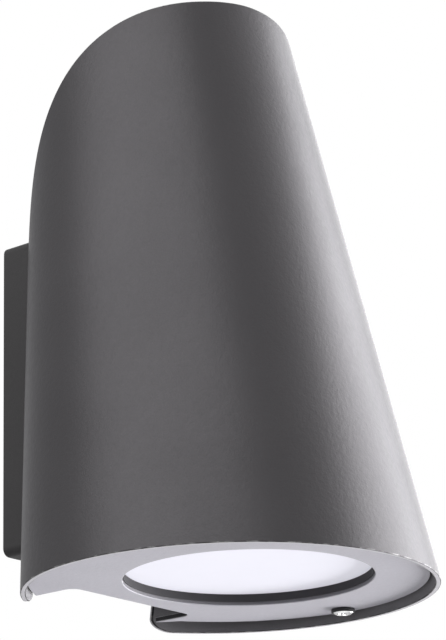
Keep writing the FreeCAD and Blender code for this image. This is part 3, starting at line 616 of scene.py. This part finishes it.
# The hood's rule: a leaning round cone, cut to a profile in side view.
class HoodRule:
    edge_steps = 44
    crown_steps = 84
    rows = 14
    halvings = 60
    # End of the crown's arc, and the share of the arc from which its tip stands out.
    arc_last = math.radians(79.0)
    tip_from = 0.93

    def __init__(self, sizes):
        self.sizes = sizes
        self.radius = sizes.rim_length / 2
        self.rim_z = HOOD_LOW.z
        reach = math.sqrt(self.radius ** 2 - sizes.edge_half ** 2)
        self.axis_y = -(reach + sizes.edge_to_wall)
        self.middle = (sizes.front_lean + sizes.back_lean) / 2
        self.half = (sizes.front_lean - sizes.back_lean) / 2
        self.along = Vector((0, math.sin(self.middle), math.cos(self.middle)))
        self.ahead = Vector((0, -math.cos(self.middle), math.sin(self.middle)))
        rise = sizes.rim_length / (math.tan(sizes.front_lean) - math.tan(sizes.back_lean))
        back_y = self.axis_y + self.radius + rise * math.tan(sizes.back_lean)
        self.apex = Vector((0, back_y, self.rim_z + rise))
        self.set_arc(reach)
        self.set_foot()

    def set_arc(self, reach):
        """Sets the crown's arc, which leaves the rear edges smoothly and ends at the front's top."""
        sizes = self.sizes
        up = Vector((-math.sin(sizes.edge_lean), math.cos(sizes.edge_lean)))
        out = Vector((-math.cos(sizes.edge_lean), -math.sin(sizes.edge_lean)))
        low = Vector((self.axis_y + reach, self.rim_z))
        top_y = self.axis_y - self.radius + sizes.height * math.tan(sizes.front_lean)
        start = low + out * sizes.crown_radius - Vector((top_y, self.rim_z + sizes.height))
        b = start.dot(up)
        step = -b - math.sqrt(b * b - start.length_squared + sizes.crown_radius ** 2)
        self.meet = low + up * step
        self.centre = self.meet + out * sizes.crown_radius
        self.cap_angle = math.asin((sizes.cap_foot - self.centre.y) / sizes.crown_radius)

    def set_foot(self):
        """Sets the corner at the foot of the rear edges."""
        corner = self.sizes.foot_corner
        base = Vector((-self.sizes.foot_gap, self.rim_z))
        rear = (self.meet - base).normalized()
        self.fore = Vector((-rear.y, rear.x))
        slide = corner * (1 - rear.x) / rear.y
        self.foot = base + self.fore * corner + rear * slide

    def tip(self, inset):
        return self.apex - self.along * (inset / math.sin(self.half))

    def line(self, turn):
        across = self.ahead * math.cos(turn) + X * math.sin(turn)
        return across * math.sin(self.half) - self.along * math.cos(self.half)

    def at(self, turn, height, inset):
        """Point on the cone at a turn from the front and a height."""
        tip = self.tip(inset)
        line = self.line(turn)
        return tip + line * ((height - tip.z) / line.z)

    def cosine(self, y, z, inset):
        """Cosine of the turn at which the cone passes a point of the side view."""
        tip = self.tip(inset)
        slope = (y - tip.y) / (z - tip.z)
        sine, cosine = math.sin(self.middle), math.cos(self.middle)
        return (slope * cosine - sine) / (math.tan(self.half) * (cosine + slope * sine))

    def on_arc(self, angle, step):
        """Point of the crown in side view; it stands a little out of a true arc at shoulder and tip."""
        share_of_arc = (angle - self.sizes.edge_lean) / (self.arc_last - self.sizes.edge_lean)
        share_of_arc = max(0.0, min(1.0, share_of_arc))
        near_tip = max(0.0, (share_of_arc - self.tip_from) / (1 - self.tip_from))
        swell = self.sizes.shoulder * math.sin(math.pi * share_of_arc) ** 2
        swell += self.sizes.tip_rise * near_tip * near_tip
        radius = self.sizes.crown_radius - step + swell
        return self.centre + Vector((math.cos(angle), math.sin(angle))) * radius

    def arc_end(self, step, inset):
        """Angle at which the crown's arc meets the front line of the cone."""
        low, high = self.sizes.edge_lean, math.pi / 2
        for _ in range(self.halvings):
            middle = (low + high) / 2
            spot = self.on_arc(middle, step)
            if self.cosine(spot.x, spot.y, inset) < 1:
                low = middle
            else:
                high = middle
        return low

    def turn_at(self, spot, inset):
        return math.acos(max(-1.0, min(1.0, self.cosine(spot.x, spot.y, inset))))

    def lower_end(self, turn, step, inset):
        """Where a line of the cone leaves the profile below: on the rim or the foot's corner."""
        height = self.rim_z + step
        point = self.at(turn, height, inset)
        foot = self.foot + self.fore * self.sizes.edge_cut * inset
        if point.y <= foot.x:
            return point
        line = self.line(turn)
        slope = line.y / line.z
        radius = self.sizes.foot_corner - step
        shift = point.y - foot.x + slope * (foot.y - height)
        a = 1 + slope * slope
        b = slope * shift
        root = max(0.0, b * b - a * (shift * shift - radius * radius))
        return self.at(turn, foot.y + (-b - math.sqrt(root)) / a, inset)

    def columns(self, step, inset):
        """Lower and upper end of each line of the half cone, from the foot to the front."""
        spots = []
        short = self.sizes.edge_cut * inset
        start = self.foot + self.fore * (short + step - self.sizes.foot_corner)
        end = self.meet + self.fore * (short + step)
        for k in range(self.edge_steps):
            spots.append(start.lerp(end, k / self.edge_steps))
        first = self.sizes.edge_lean
        last = self.arc_end(step, inset)
        for k in range(self.crown_steps + 1):
            left = 1 - k / self.crown_steps
            angle = last - (last - first) * left * left
            fade = max(0.0, 1 - (angle - first) / (self.cap_angle - first))
            spots.append(self.on_arc(angle, step + short * fade))
        made = []
        for spot in spots:
            turn = self.turn_at(spot, inset)
            made.append((self.lower_end(turn, step, inset), self.at(turn, spot.y, inset)))
        return made


def hood_rows(rule, step, inset):
    """Rows of points over the whole cone, rim to crown, from the right foot round to the left one."""
    columns = rule.columns(step, inset)
    for low, high in reversed(columns[:-1]):
        columns.append([Vector((-p.x, p.y, p.z)) for p in (low, high)])
    return [[low.lerp(high, k / rule.rows) for low, high in columns] for k in range(rule.rows + 1)]


def border(grid):
    """The closed border of rows of points or vertices."""
    left = [row[-1] for row in grid[1:-1]]
    right = [row[0] for row in reversed(grid[1:-1])]
    return grid[0] + left + grid[-1][::-1] + right


class DOWNLIGHT_OT_hood(bpy.types.Operator):
    """Rolled cone of sheet with its crown cut as an arc and its rear open"""
    bl_idname = "downlight.hood"
    bl_label = "Hood"

    def execute(self, context):
        sizes = context.scene.downlight_hood
        rule = HoodRule(sizes)
        edge = sizes.edge_round
        bm = bmesh.new()
        skins = []
        for inset, kind in ((0.0, 0), (sizes.sheet, 2)):
            grid = [verts(bm, row) for row in hood_rows(rule, edge, inset)]
            strips(bm, grid, False, kind)
            skins.append(border(grid))
        layers = [(edge * a, edge * b) for a, b in QUARTER[1:]]
        layers += [(edge * a, sizes.sheet - edge * b) for a, b in reversed(QUARTER[1:])]
        rings = [skins[0]]
        for step, inset in layers:
            rings.append(verts(bm, border(hood_rows(rule, step, inset))))
        rings.append(skins[1])
        edge_strips(bm, rings, 1)
        # The inner skin (kind 2) takes the lighter inside finish: painted light.
        shell = shaped("hood_shell", bm, ["hood_paint", "cut_edge", "hood_inside"])
        settle(shell, "base", ["hood"])
        return {"FINISHED"}


class DOWNLIGHT_OT_crown_cap(bpy.types.Operator):
    """Bent sheet that closes the crown, flush with the hood's cut edge"""
    bl_idname = "downlight.crown_cap"
    bl_label = "Crown cap"

    def execute(self, context):
        sizes = context.scene.downlight_hood
        rule = HoodRule(sizes)
        steps, across, tip_gap = 72, 24, 0.002
        inset = sizes.sheet + sizes.seam
        bm = bmesh.new()
        skins = []
        for step in (0.0, sizes.sheet):
            first = math.asin((sizes.cap_foot - rule.centre.y) / (sizes.crown_radius - step))
            last = rule.arc_end(step, inset) - tip_gap
            grid = []
            for k in range(steps + 1):
                left = 1 - k / steps
                spot = rule.on_arc(last - (last - first) * left * left, step)
                reach = rule.at(rule.turn_at(spot, inset), spot.y, inset).x
                row = [(reach * (2 * n / across - 1), spot.x, spot.y) for n in range(across + 1)]
                grid.append(verts(bm, row))
            strips(bm, grid, False)
            skins.append(border(grid))
        strips(bm, skins, True, 0, 1.0)
        settle(shaped("crown_cap", bm, ["hood_paint"]), "base", ["hood_cap"])
        return {"FINISHED"}


class DOWNLIGHT_OT_cover_plate(bpy.types.Operator):
    """Flat cover plate with the lens opening and the notch for the wall box"""
    bl_idname = "downlight.cover_plate"
    bl_label = "Cover plate"

    def execute(self, context):
        hood = context.scene.downlight_hood
        sizes = context.scene.downlight_cover
        rule = HoodRule(hood)
        right = self.side(rule, hood, sizes, rule.radius - sizes.right_inset)
        left = self.side(rule, hood, sizes, rule.radius - sizes.left_inset)
        left = [Vector((-p.x, p.y)) for p in reversed(left[1:])]
        lens_y = (LENS_LOW.y + LENS_HIGH.y) / 2 - sizes.opening_forward
        screw = sum(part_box("cover_screw"), Vector()) / 2
        holes = [circle(0, lens_y, sizes.opening / 2, 144)]
        holes.append(circle(screw.x, screw.y, sizes.screw_hole, 32))
        bm = bmesh.new()
        # The outline's wall (kind 1) takes the dark seal rubber: painted shade on the plate's edge, not a
        # real seal.
        sheet_solid(bm, right + left, holes, PLATE_LOW.z, PLATE_HIGH.z, sizes.edge_round, [1, 2, 0])
        # The opening's wall (kind 2) is a darker copy of the plate paint: painted shade.
        plate = shaped("cover_plate", bm, ["plate_paint", "seal_rubber", "opening_edge"])
        settle(plate, "cover", ["lens_plate"])
        return {"FINISHED"}

    def side(self, rule, hood, sizes, limit):
        """Right half of an outline from the front to the notch, inside the hood and inside a circle."""
        inset = hood.sheet + sizes.plate_gap
        middle = Vector((0, rule.axis_y - sizes.plate_forward))
        steps, tip_steps, corner_steps = 110, 6, 8
        made = []
        for k in range(steps + 1):
            point = rule.at(math.pi * k / steps, PLATE_HIGH.z, inset)
            flat = Vector((point.x, point.y)) - middle
            if flat.length > limit:
                flat = flat.normalized() * limit
            if flat.y > 0 and flat.x < sizes.notch_half:
                break
            made.append(flat + middle)
        while made[-1].x < sizes.notch_half + sizes.wing_width:
            made.pop()
        tip = Vector((sizes.notch_half, -sizes.wing_gap))
        start = tip + (made[-1] - tip).normalized() * sizes.wing_round
        end = tip - Vector((0, sizes.wing_round))
        made += bend(start, tip, end, tip_steps)
        corner = sizes.notch_corner
        turn = Vector((sizes.notch_half - corner, corner - sizes.notch_front))
        for k in range(corner_steps + 1):
            a = -math.pi / 2 * k / corner_steps
            made.append(turn + Vector((math.cos(a), math.sin(a))) * corner)
        return made


class DOWNLIGHT_OT_lens(bpy.types.Operator):
    """Opal lens and the seal whose lip lines the opening"""
    bl_idname = "downlight.lens"
    bl_label = "Lens and seal"

    def execute(self, context):
        sizes = context.scene.downlight_cover
        centre = (LENS_LOW + LENS_HIGH) / 2
        opening = centre - Y * sizes.opening_forward
        outer, steps = LENS_HIGH.x, 160
        low, high = LENS_LOW.z, LENS_HIGH.z
        dish = high - sizes.lens_dish
        face = sizes.opening / 2 - sizes.lip - sizes.lens_rim
        profile = [(0.0, low), (outer, low), (outer, high), (face, high)]
        profile += [(face - sizes.lens_dish, dish), (0.0, dish)]
        lens = turned("opal_lens", "opal", profile, sizes.lens_round, centre, steps)
        settle(lens, "cover", ["lens"])
        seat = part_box("lens_gasket")[0].z
        tip = PLATE_LOW.z + sizes.lip_up
        lip_out = sizes.opening / 2 - SNUG
        lip_in = lip_out - sizes.lip
        profile = [(outer, seat), (outer, low), (lip_in, low)]
        profile += [(lip_in, tip), (lip_out, tip), (lip_out, seat)]
        seal = turned("lens_seal", "seal_rubber", profile, sizes.lip_round, opening, steps)
        settle(seal, "cover", ["lens_gasket"])
        return {"FINISHED"}


# Fasteners: each shape is made once and set out by a node tree.
def polar(rings, steps):
    """Rings of points, each from a rule that gives radius and height by angle."""
    rows = []
    for ring in rings:
        row = []
        for k in range(steps):
            a = 2 * math.pi * k / steps
            radius, height = ring(a)
            row.append((radius * math.cos(a), radius * math.sin(a), height))
        rows.append(row)
    return rows


def even(radius, height):
    """Ring that is the same at every angle."""
    return lambda a: (radius, height)


def cross_depth(x, y, size):
    """How deep the cross recess is at a point of the head, from 0 to 1."""
    arm, half, slope = 0.56 * size, 0.15 * size, 0.10 * size

    def inside(distance, limit):
        return max(0.0, min(1.0, (limit - distance) / slope + 0.5))

    one = inside(abs(x), arm) * inside(abs(y), half)
    two = inside(abs(y), arm) * inside(abs(x), half)
    return max(one, two)


def screw_shape(size, shank, pitch, recess):
    """Pan head screw with a cross recess, seated at the origin with its shank along +Z."""
    tall = HEAD_TALL * size
    steps, dome_steps, dome_rings, turn_steps = 64, 26, 19, 5

    def dome(radius):
        def ring(a):
            bulge = tall * (1 - 0.16 * (radius / size) ** 2)
            deep = cross_depth(radius * math.cos(a), radius * math.sin(a), size)
            return radius, -bulge + deep * recess * tall
        return ring

    def thread(height):
        def ring(a):
            turn = (height / pitch - a / (2 * math.pi)) % 1.0
            depth = 0.14 * size * abs(2 * turn - 1) ** 1.2
            fade = min(1.0, (shank - height) / (0.2 * size))
            return (size / 2 - depth) * (0.8 + 0.2 * fade), height
        return ring

    brim = [(0.82, 0.82), (0.91, 0.70), (0.97, 0.52), (1.0, 0.32), (1.0, 0.03), (0.97, 0.0), (0.5, 0.0)]
    rings = [dome(size * k / dome_steps) for k in range(1, dome_rings + 1)]
    rings += [even(size * out, -tall * up) for out, up in brim]
    turns = max(4, int(shank / pitch * turn_steps))
    rings += [thread(shank * k / turns) for k in range(1, turns + 1)]
    return tube(polar(rings, steps))


def nut_shape(flats, bore, tall):
    """Hexagon nut with chamfered corners, standing on the origin."""
    steps = 72
    mouth, face = 1.14 * bore, 0.49 * flats

    def hexagon(a):
        return flats / 2 / math.cos((a + math.pi / 6) % (math.pi / 3) - math.pi / 6)

    def side(height):
        return lambda a: (hexagon(a), height(0.3 * (hexagon(a) - flats / 2)))

    rings = [even(bore, 0.1 * tall), even(mouth, 0.0), even(face, 0.0)]
    rings += [side(lambda drop: drop + 0.02 * tall), side(lambda drop: 0.98 * tall - drop)]
    rings += [even(face, tall), even(mouth, tall), even(bore, 0.9 * tall)]
    return tube(polar(rings, steps), False)


def stud_shape(size, tall, pitch):
    """Weld stud with a thread and a chamfered end, standing on the origin."""
    steps, turn_steps = 36, 5

    def thread(height):
        def ring(a):
            turn = (height / pitch - a / (2 * math.pi)) % 1.0
            depth = 0.12 * size * abs(2 * turn - 1)
            fade = min(1.0, (tall - height) / (0.15 * size) + 0.2)
            return (size / 2 - depth) * (0.85 + 0.15 * fade), height
        return ring

    turns = int(tall / pitch * turn_steps)
    return tube(polar([thread(tall * k / turns) for k in range(turns + 1)], steps))


def rule_tree(name, inputs, setting_out):
    """A node tree with named inputs that sets out copies of a shape, made real and with their finish."""
    tree = bpy.data.node_groups.get(name)
    if tree:
        return tree
    tree = bpy.data.node_groups.new(name, "GeometryNodeTree")
    inputs = [("Geometry", "Geometry", None), ("Shape", "Object", None)] + inputs
    for label, kind, default in inputs + [("Finish", "Material", None)]:
        socket = tree.interface.new_socket(label, in_out="INPUT", socket_type="NodeSocket" + kind)
        if default is not None:
            socket.default_value = default
    tree.interface.new_socket("Geometry", in_out="OUTPUT", socket_type="NodeSocketGeometry")
    nodes = Nodes(tree)

    def given(label):
        return nodes.add("NodeGroupInput", None, None, label)

    shape = nodes.add("GeometryNodeObjectInfo", None, {"Object": given("Shape")}, "Geometry")
    real = nodes.add("GeometryNodeRealizeInstances", None, {0: setting_out(nodes, given, shape)})
    done = nodes.add("GeometryNodeSetMaterial", None, {0: real, "Material": given("Finish")})
    nodes.add("NodeGroupOutput", None, {0: done})
    return tree


def on_points(nodes, given, shape):
    """One copy on each point, turned along the point's aim."""
    settings = {"data_type": "FLOAT_VECTOR"}
    aim = nodes.add("GeometryNodeInputNamedAttribute", settings, {"Name": "aim"})
    turn = nodes.add("FunctionNodeAlignRotationToVector", {"axis": "Z"}, {"Vector": aim})
    sockets = {"Points": given("Geometry"), "Instance": shape, "Rotation": turn, "Scale": given("Size")}
    return nodes.add("GeometryNodeInstanceOnPoints", None, sockets)


def in_a_ring(nodes, given, shape):
    """Copies round an upright line, each facing outwards."""
    sockets = {"Vertices": given("Count"), "Radius": given("Radius")}
    line = nodes.add("GeometryNodeMeshCircle", None, sockets)
    spot = nodes.add("GeometryNodeInputPosition")
    settings = {"axis": "X", "pivot_axis": "Z"}
    turn = nodes.add("FunctionNodeAlignRotationToVector", settings, {"Vector": spot})
    sockets = {"Points": line, "Instance": shape, "Rotation": turn}
    ring = nodes.add("GeometryNodeInstanceOnPoints", None, sockets)
    return nodes.add("GeometryNodeTransform", None, {0: ring, "Translation": given("Centre")})


def copied(name, bm, kind, mesh, tree, values):
    """A piece of copies of one shape, with the tree's inputs set by their identifiers."""
    source = shaped(name + "_shape", bm, [kind])
    holder = held(name, mesh)
    modifier = holder.modifiers.new("rule", "NODES")
    modifier.node_group = tree
    values.update({"Shape": source, "Finish": finish(kind)})
    for socket in tree.interface.items_tree:
        if socket.in_out == "INPUT" and socket.name in values:
            modifier[socket.identifier] = values[socket.name]
    plain(holder)
    shape_mesh = source.data
    bpy.data.objects.remove(source)
    bpy.data.meshes.remove(shape_mesh)
    return holder


def set_out(name, bm, kind, points, aim):
    """Copies of one fastener at points, all turned along one line."""
    mesh = bpy.data.meshes.new(name)
    mesh.from_pydata([tuple(p) for p in points], [], [])
    for row in mesh.attributes.new("aim", "FLOAT_VECTOR", "POINT").data:
        row.vector = aim
    tree = rule_tree("fasteners_on_points", [("Size", "Float", 1.0)], on_points)
    return copied(name, bm, kind, mesh, tree, {"Size": 1.0})


def spots(node, reach, axis, seat):
    """Middles of like fasteners at the corners of their node's box, with their seat along an axis."""
    low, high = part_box(node)
    ends = [(low[k] + reach[k], high[k] - reach[k]) for k in range(3)]
    ends[axis] = (seat,)
    made = {}
    for spot in itertools.product(*ends):
        made[tuple(round(v, 4) for v in spot)] = Vector(spot)
    return list(made.values())


class DOWNLIGHT_OT_screws(bpy.types.Operator):
    """Cross recess screws of the lid, bracket, shelf, holder, terminal block, earth and cover"""
    bl_idname = "downlight.screws"
    bl_label = "Screws"

    def execute(self, context):
        sizes = context.scene.downlight_fasteners
        large, small = sizes.screw, sizes.small_screw
        groups = [
            ("lid_screws", large, Y, "base", "zinc"),
            ("bracket_screws", large, Y, "base", "zinc"),
            ("earth_screw", large, Y, "base", "zinc"),
            ("terminal_fixings", small, Y, "base", "zinc"),
            ("shelf_screws", large, Z, "base", "zinc"),
            ("holder_screws", small, Z, "base", "zinc"),
            ("cover_screw", large, Z, "screw", "stainless"),
        ]
        for node, size, aim, body, kind in groups:
            axis = 1 if aim is Y else 2
            low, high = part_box(node)
            seat = low[axis] + HEAD_TALL * size
            points = spots(node, (size, size, size), axis, seat)
            bm = screw_shape(size, high[axis] - seat, sizes.pitch * size / large, sizes.recess)
            settle(set_out("threaded_" + node, bm, kind, points, aim), body, [node])
        self.shade_collar(sizes)
        return {"FINISHED"}

    def shade_collar(self, sizes):
        """Black ring round the cover screw's head: painted shade that stands in for the head's shaded
        side.
        """
        low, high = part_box("cover_screw")
        inner, outer = 0.97 * sizes.screw, 1.11 * sizes.screw
        tip, top = low.z + 0.16 * sizes.screw, PLATE_LOW.z - SNUG
        profile = [(inner, tip), (outer, tip), (outer, top), (inner, top)]
        centre = (low + high) / 2
        ring = turned("screw_collar", "black_rubber", profile, sizes.shade_collar_round, centre, 64)
        settle(ring, "screw")


class DOWNLIGHT_OT_nuts(bpy.types.Operator):
    """Hexagon nuts of the lens ring and the holder, and the threaded studs on the plate"""
    bl_idname = "downlight.nuts"
    bl_label = "Nuts and studs"

    def execute(self, context):
        sizes = context.scene.downlight_fasteners
        small = sizes.small_screw
        half, corner = sizes.flats / 2, sizes.flats / math.sqrt(3)
        for node, body in (("ring_nuts", "cover"), ("holder_nuts", "base")):
            low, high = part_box(node)
            points = spots(node, (corner, half, 0.0), 2, low.z)
            bm = nut_shape(sizes.flats, small / 2, high.z - low.z)
            settle(set_out("hex_" + node, bm, "zinc", points, Z), body, [node])
        low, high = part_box("plate_studs")
        points = spots("plate_studs", (small / 2, small / 2, 0.0), 2, low.z)
        bm = stud_shape(small, high.z - low.z, sizes.stud_pitch)
        settle(set_out("threaded_studs", bm, "zinc", points, Z), "cover", ["plate_studs"])
        return {"FINISHED"}


class DOWNLIGHT_OT_lamp(bpy.types.Operator):
    """Ribbed housing of the twist-lock lamp and the emitters on its board"""
    bl_idname = "downlight.lamp"
    bl_label = "Lamp"
    # How far slopes and rib ends run out.
    ease = 0.0008

    def execute(self, context):
        sizes = context.scene.downlight_lamp
        low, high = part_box("lamp_body")
        centre = (low + high) / 2
        under, board_top = (corner.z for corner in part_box("lamp_board"))
        core = high.x - sizes.rib_depth
        top = high.z - sizes.hub_rise
        profile = self.section(sizes, low.z, high, core, top, board_top)
        housing = turned("lamp_housing", "lamp_white", profile, sizes.edge_round, centre)
        settle(housing, "lamp", ["lamp_body"])
        bm = self.rib(sizes, low.z + self.ease, top - sizes.shoulder)
        self.ring("lamp_ribs", bm, sizes.ribs, core, centre.y, "lamp_white")
        bm = self.emitter(under)
        self.ring("lamp_emitters", bm, sizes.emitters, sizes.emitter_ring, centre.y, "emitter")
        return {"FINISHED"}

    def section(self, sizes, low, high, core, top, board_top):
        """Half section of the housing: hub, sloping shoulder, flange, seat of the board, inside."""
        slope = top - sizes.shoulder
        inner = high.x - sizes.wall
        ledge = inner - sizes.wall
        under_top = top - sizes.wall
        made = [(0.0, high.z), (sizes.hub, high.z), (sizes.hub, top), (high.x - sizes.shoulder, top)]
        made += [(core, slope + self.ease), (core, low + sizes.flange + self.ease / 2)]
        made += [(high.x, low + sizes.flange), (high.x, low)]
        made += [(inner, low), (inner, board_top), (ledge, board_top), (ledge, slope)]
        made += [(ledge - sizes.wall, under_top), (0.0, under_top)]
        return made

    def rib(self, sizes, low, high):
        """One upright rib that faces +X, sunk a little into the housing, with eased ends."""
        half, sunk = sizes.rib_width / 2, -0.0004
        outline = [(sunk, -half), (0.6, -half), (0.93, -0.6 * half), (1.0, 0.0)]
        outline += [(out, -side) for out, side in reversed(outline[:-1])]
        ends = [(low, 0.7), (low + self.ease / 2, 1.0), (high - self.ease, 1.0), (high, 0.2)]
        rows = []
        for height, grow in ends:
            row = []
            for out, side in outline:
                reach = out if out < 0 else out * sizes.rib_depth * grow
                row.append((reach, side * (0.7 + 0.3 * grow), height))
            rows.append(row)
        return tube(rows)

    def emitter(self, under):
        """One square light emitter that hangs under the board."""
        base, face, wall, tall = 0.0014, 0.0011, 0.0005, 0.0007
        rows = []
        for half, height in ((base, under), (base, under - wall), (face, under - tall)):
            rows.append([(half * x, half * y, height) for x, y in SQUARE])
        return tube(rows)

    def ring(self, name, bm, total, radius, centre_y, kind):
        """A ring of like shapes round the lamp's middle."""
        inputs = [("Count", "Int", 12), ("Radius", "Float", 0.01), ("Centre", "Vector", None)]
        tree = rule_tree("shapes_in_a_ring", inputs, in_a_ring)
        values = {"Count": total, "Radius": radius, "Centre": (0.0, centre_y, 0.0)}
        settle(copied(name, bm, kind, bpy.data.meshes.new(name), tree, values), "lamp")


class DOWNLIGHT_OT_wall_seal(bpy.types.Operator):
    """Foam strip between the wall box and the wall"""
    bl_idname = "downlight.wall_seal"
    bl_label = "Wall seal"

    def execute(self, context):
        sizes = context.scene.downlight_seal
        low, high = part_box("wall_gasket")
        steps = 6
        section = [(0.0, 0.0), (0.0, 0.6), (0.12, 0.9), (0.3, 1.0)]
        section += [(1.0 - out, depth) for out, depth in reversed(section)]
        rows = []
        for out, depth in section:
            inset = sizes.width * out
            corner = sizes.corner - 0.4 * inset
            y = low.y + (high.y - low.y) * depth
            line = []
            for number, (side, end) in enumerate(SQUARE):
                for k in range(steps + 1):
                    a = math.pi / 2 * (number + k / steps)
                    x = side * (high.x - inset - corner) + corner * math.cos(a)
                    z = end * (high.z - inset - corner) + corner * math.sin(a)
                    line.append((x, y, z))
            rows.append(line)
        settle(shaped("wall_seal", tube(rows, False), ["grey_foam"]), "base", ["wall_gasket"])
        return {"FINISHED"}


class DOWNLIGHT_OT_frame(bpy.types.Operator):
    """Finishes of the frame's own pieces that stay as they are"""
    bl_idname = "downlight.frame"
    bl_label = "Frame pieces"

    def execute(self, context):
        for name, node in NODES.items():
            if node.hide_render:
                continue
            node.data.materials.clear()
            node.data.materials.append(finish(SLOT_OF[name]))
        return {"FINISHED"}


class DOWNLIGHT_OT_stage(bpy.types.Operator):
    """Pale floor, soft light and the camera"""
    bl_idname = "downlight.stage"
    bl_label = "Stage"

    def execute(self, context):
        scene = context.scene
        stage = scene.downlight_stage
        scene.view_settings.view_transform = "Standard"
        self.camera(scene, stage)
        self.world(scene, stage)
        self.floor(stage)
        for name, power, where, width, tall, roll in PANELS:
            self.panel(name, getattr(stage, power), Vector(where), width, tall, roll)
        return {"FINISHED"}

    def camera(self, scene, stage):
        data = bpy.data.cameras.new("camera")
        data.sensor_width = 36.0
        data.lens = stage.camera_lens
        camera = bpy.data.objects.new("camera", data)
        camera.location = stage.camera_place
        camera.rotation_euler = stage.camera_turn
        scene.collection.objects.link(camera)
        scene.camera = camera

    def panel(self, name, power, where, width, tall, roll):
        data = bpy.data.lights.new(name, "AREA")
        data.shape = "RECTANGLE"
        data.size = width
        data.size_y = tall
        data.energy = power
        lamp = bpy.data.objects.new(name, data)
        lamp.location = where
        turn = (LIT_POINT - where).to_track_quat("-Z", "Y")
        lamp.rotation_euler = (turn @ Quaternion(Z, math.radians(roll))).to_euler()
        bpy.context.scene.collection.objects.link(lamp)

    def world(self, scene, stage):
        world = bpy.data.worlds.new("studio")
        scene.world = world
        world.use_nodes = True
        nodes = Nodes(world.node_tree)
        white = self.seen(nodes)
        strength = stage.world + (1.0 - stage.world) * white
        sockets = {"Color": (1.0, 1.0, 1.0, 1.0), "Strength": strength}
        light = nodes.add("ShaderNodeBackground", None, sockets)
        nodes.add("ShaderNodeOutputWorld", None, {"Surface": light})

    def seen(self, nodes):
        """1 for rays from the camera, also by way of metal and glass, and 0 for the rest."""
        white = nodes.add("ShaderNodeLightPath", None, None, "Is Camera Ray")
        for name in ("Is Glossy Ray", "Is Transmission Ray"):
            ray = nodes.add("ShaderNodeLightPath", None, None, name)
            white = nodes.add("ShaderNodeMath", {"operation": "MAXIMUM"}, {0: white, 1: ray})
        return white

    def floor(self, stage):
        bm = bmesh.new()
        corners = [(FLOOR_REACH * x, FLOOR_REACH * y, -stage.floor_drop) for x, y in SQUARE]
        bm.faces.new(verts(bm, corners))
        mesh = bpy.data.meshes.new("floor")
        bm.to_mesh(mesh)
        bm.free()
        material = bpy.data.materials.new("pale_floor")
        material.use_nodes = True
        nodes = Nodes(material.node_tree)
        here = nodes.add("ShaderNodeTexCoord", None, None, "Object")
        cloud = nodes.noise(here, 1.5, 2.0)
        pale = nodes.tinted((0.66, 0.66, 0.66), 0.98 + 0.03 * cloud)
        shine = nodes.tinted((1.0, 1.0, 1.0), self.seen(nodes) * stage.floor_white)
        fixed = {"Emission_Color": shine, "Emission_Strength": 1.0}
        surface(nodes, pale, 0.8 + 0.05 * cloud, cloud, 0.0005, **fixed)
        mesh.materials.append(material)
        held("floor", mesh)


class DOWNLIGHT_PT_panel(bpy.types.Panel):
    """Pieces and sizes of the wall downlight"""
    bl_idname = "DOWNLIGHT_PT_panel"
    bl_label = "Wall downlight"
    bl_space_type = "VIEW_3D"
    bl_region_type = "UI"
    bl_category = "Downlight"

    def draw(self, context):
        for operator in OPERATORS:
            self.layout.operator(operator.bl_idname)
        for name in GROUPS:
            group = getattr(context.scene, name)
            box = self.layout.box()
            for key in group.__annotations__:
                box.prop(group, key)


GROUPS = {
    "downlight_hood": HoodSizes,
    "downlight_cover": CoverSizes,
    "downlight_fasteners": FastenerSizes,
    "downlight_lamp": LampSizes,
    "downlight_seal": SealSizes,
    "downlight_finishes": Finishes,
    "downlight_stage": StageSettings,
}
OPERATORS = [
    DOWNLIGHT_OT_stage,
    DOWNLIGHT_OT_hood,
    DOWNLIGHT_OT_crown_cap,
    DOWNLIGHT_OT_cover_plate,
    DOWNLIGHT_OT_lens,
    DOWNLIGHT_OT_screws,
    DOWNLIGHT_OT_nuts,
    DOWNLIGHT_OT_lamp,
    DOWNLIGHT_OT_wall_seal,
    DOWNLIGHT_OT_frame,
]
CLASSES = list(GROUPS.values()) + OPERATORS + [DOWNLIGHT_PT_panel]


def register():
    for kind in CLASSES:
        bpy.utils.register_class(kind)
    for name, kind in GROUPS.items():
        setattr(bpy.types.Scene, name, bpy.props.PointerProperty(type=kind))


def unregister():
    for name in GROUPS:
        delattr(bpy.types.Scene, name)
    for kind in reversed(CLASSES):
        bpy.utils.unregister_class(kind)


def main():
    register()
    for operator in OPERATORS:
        group, name = operator.bl_idname.split(".")
        getattr(getattr(bpy.ops, group), name)()


if __name__ == "__main__":
    main()
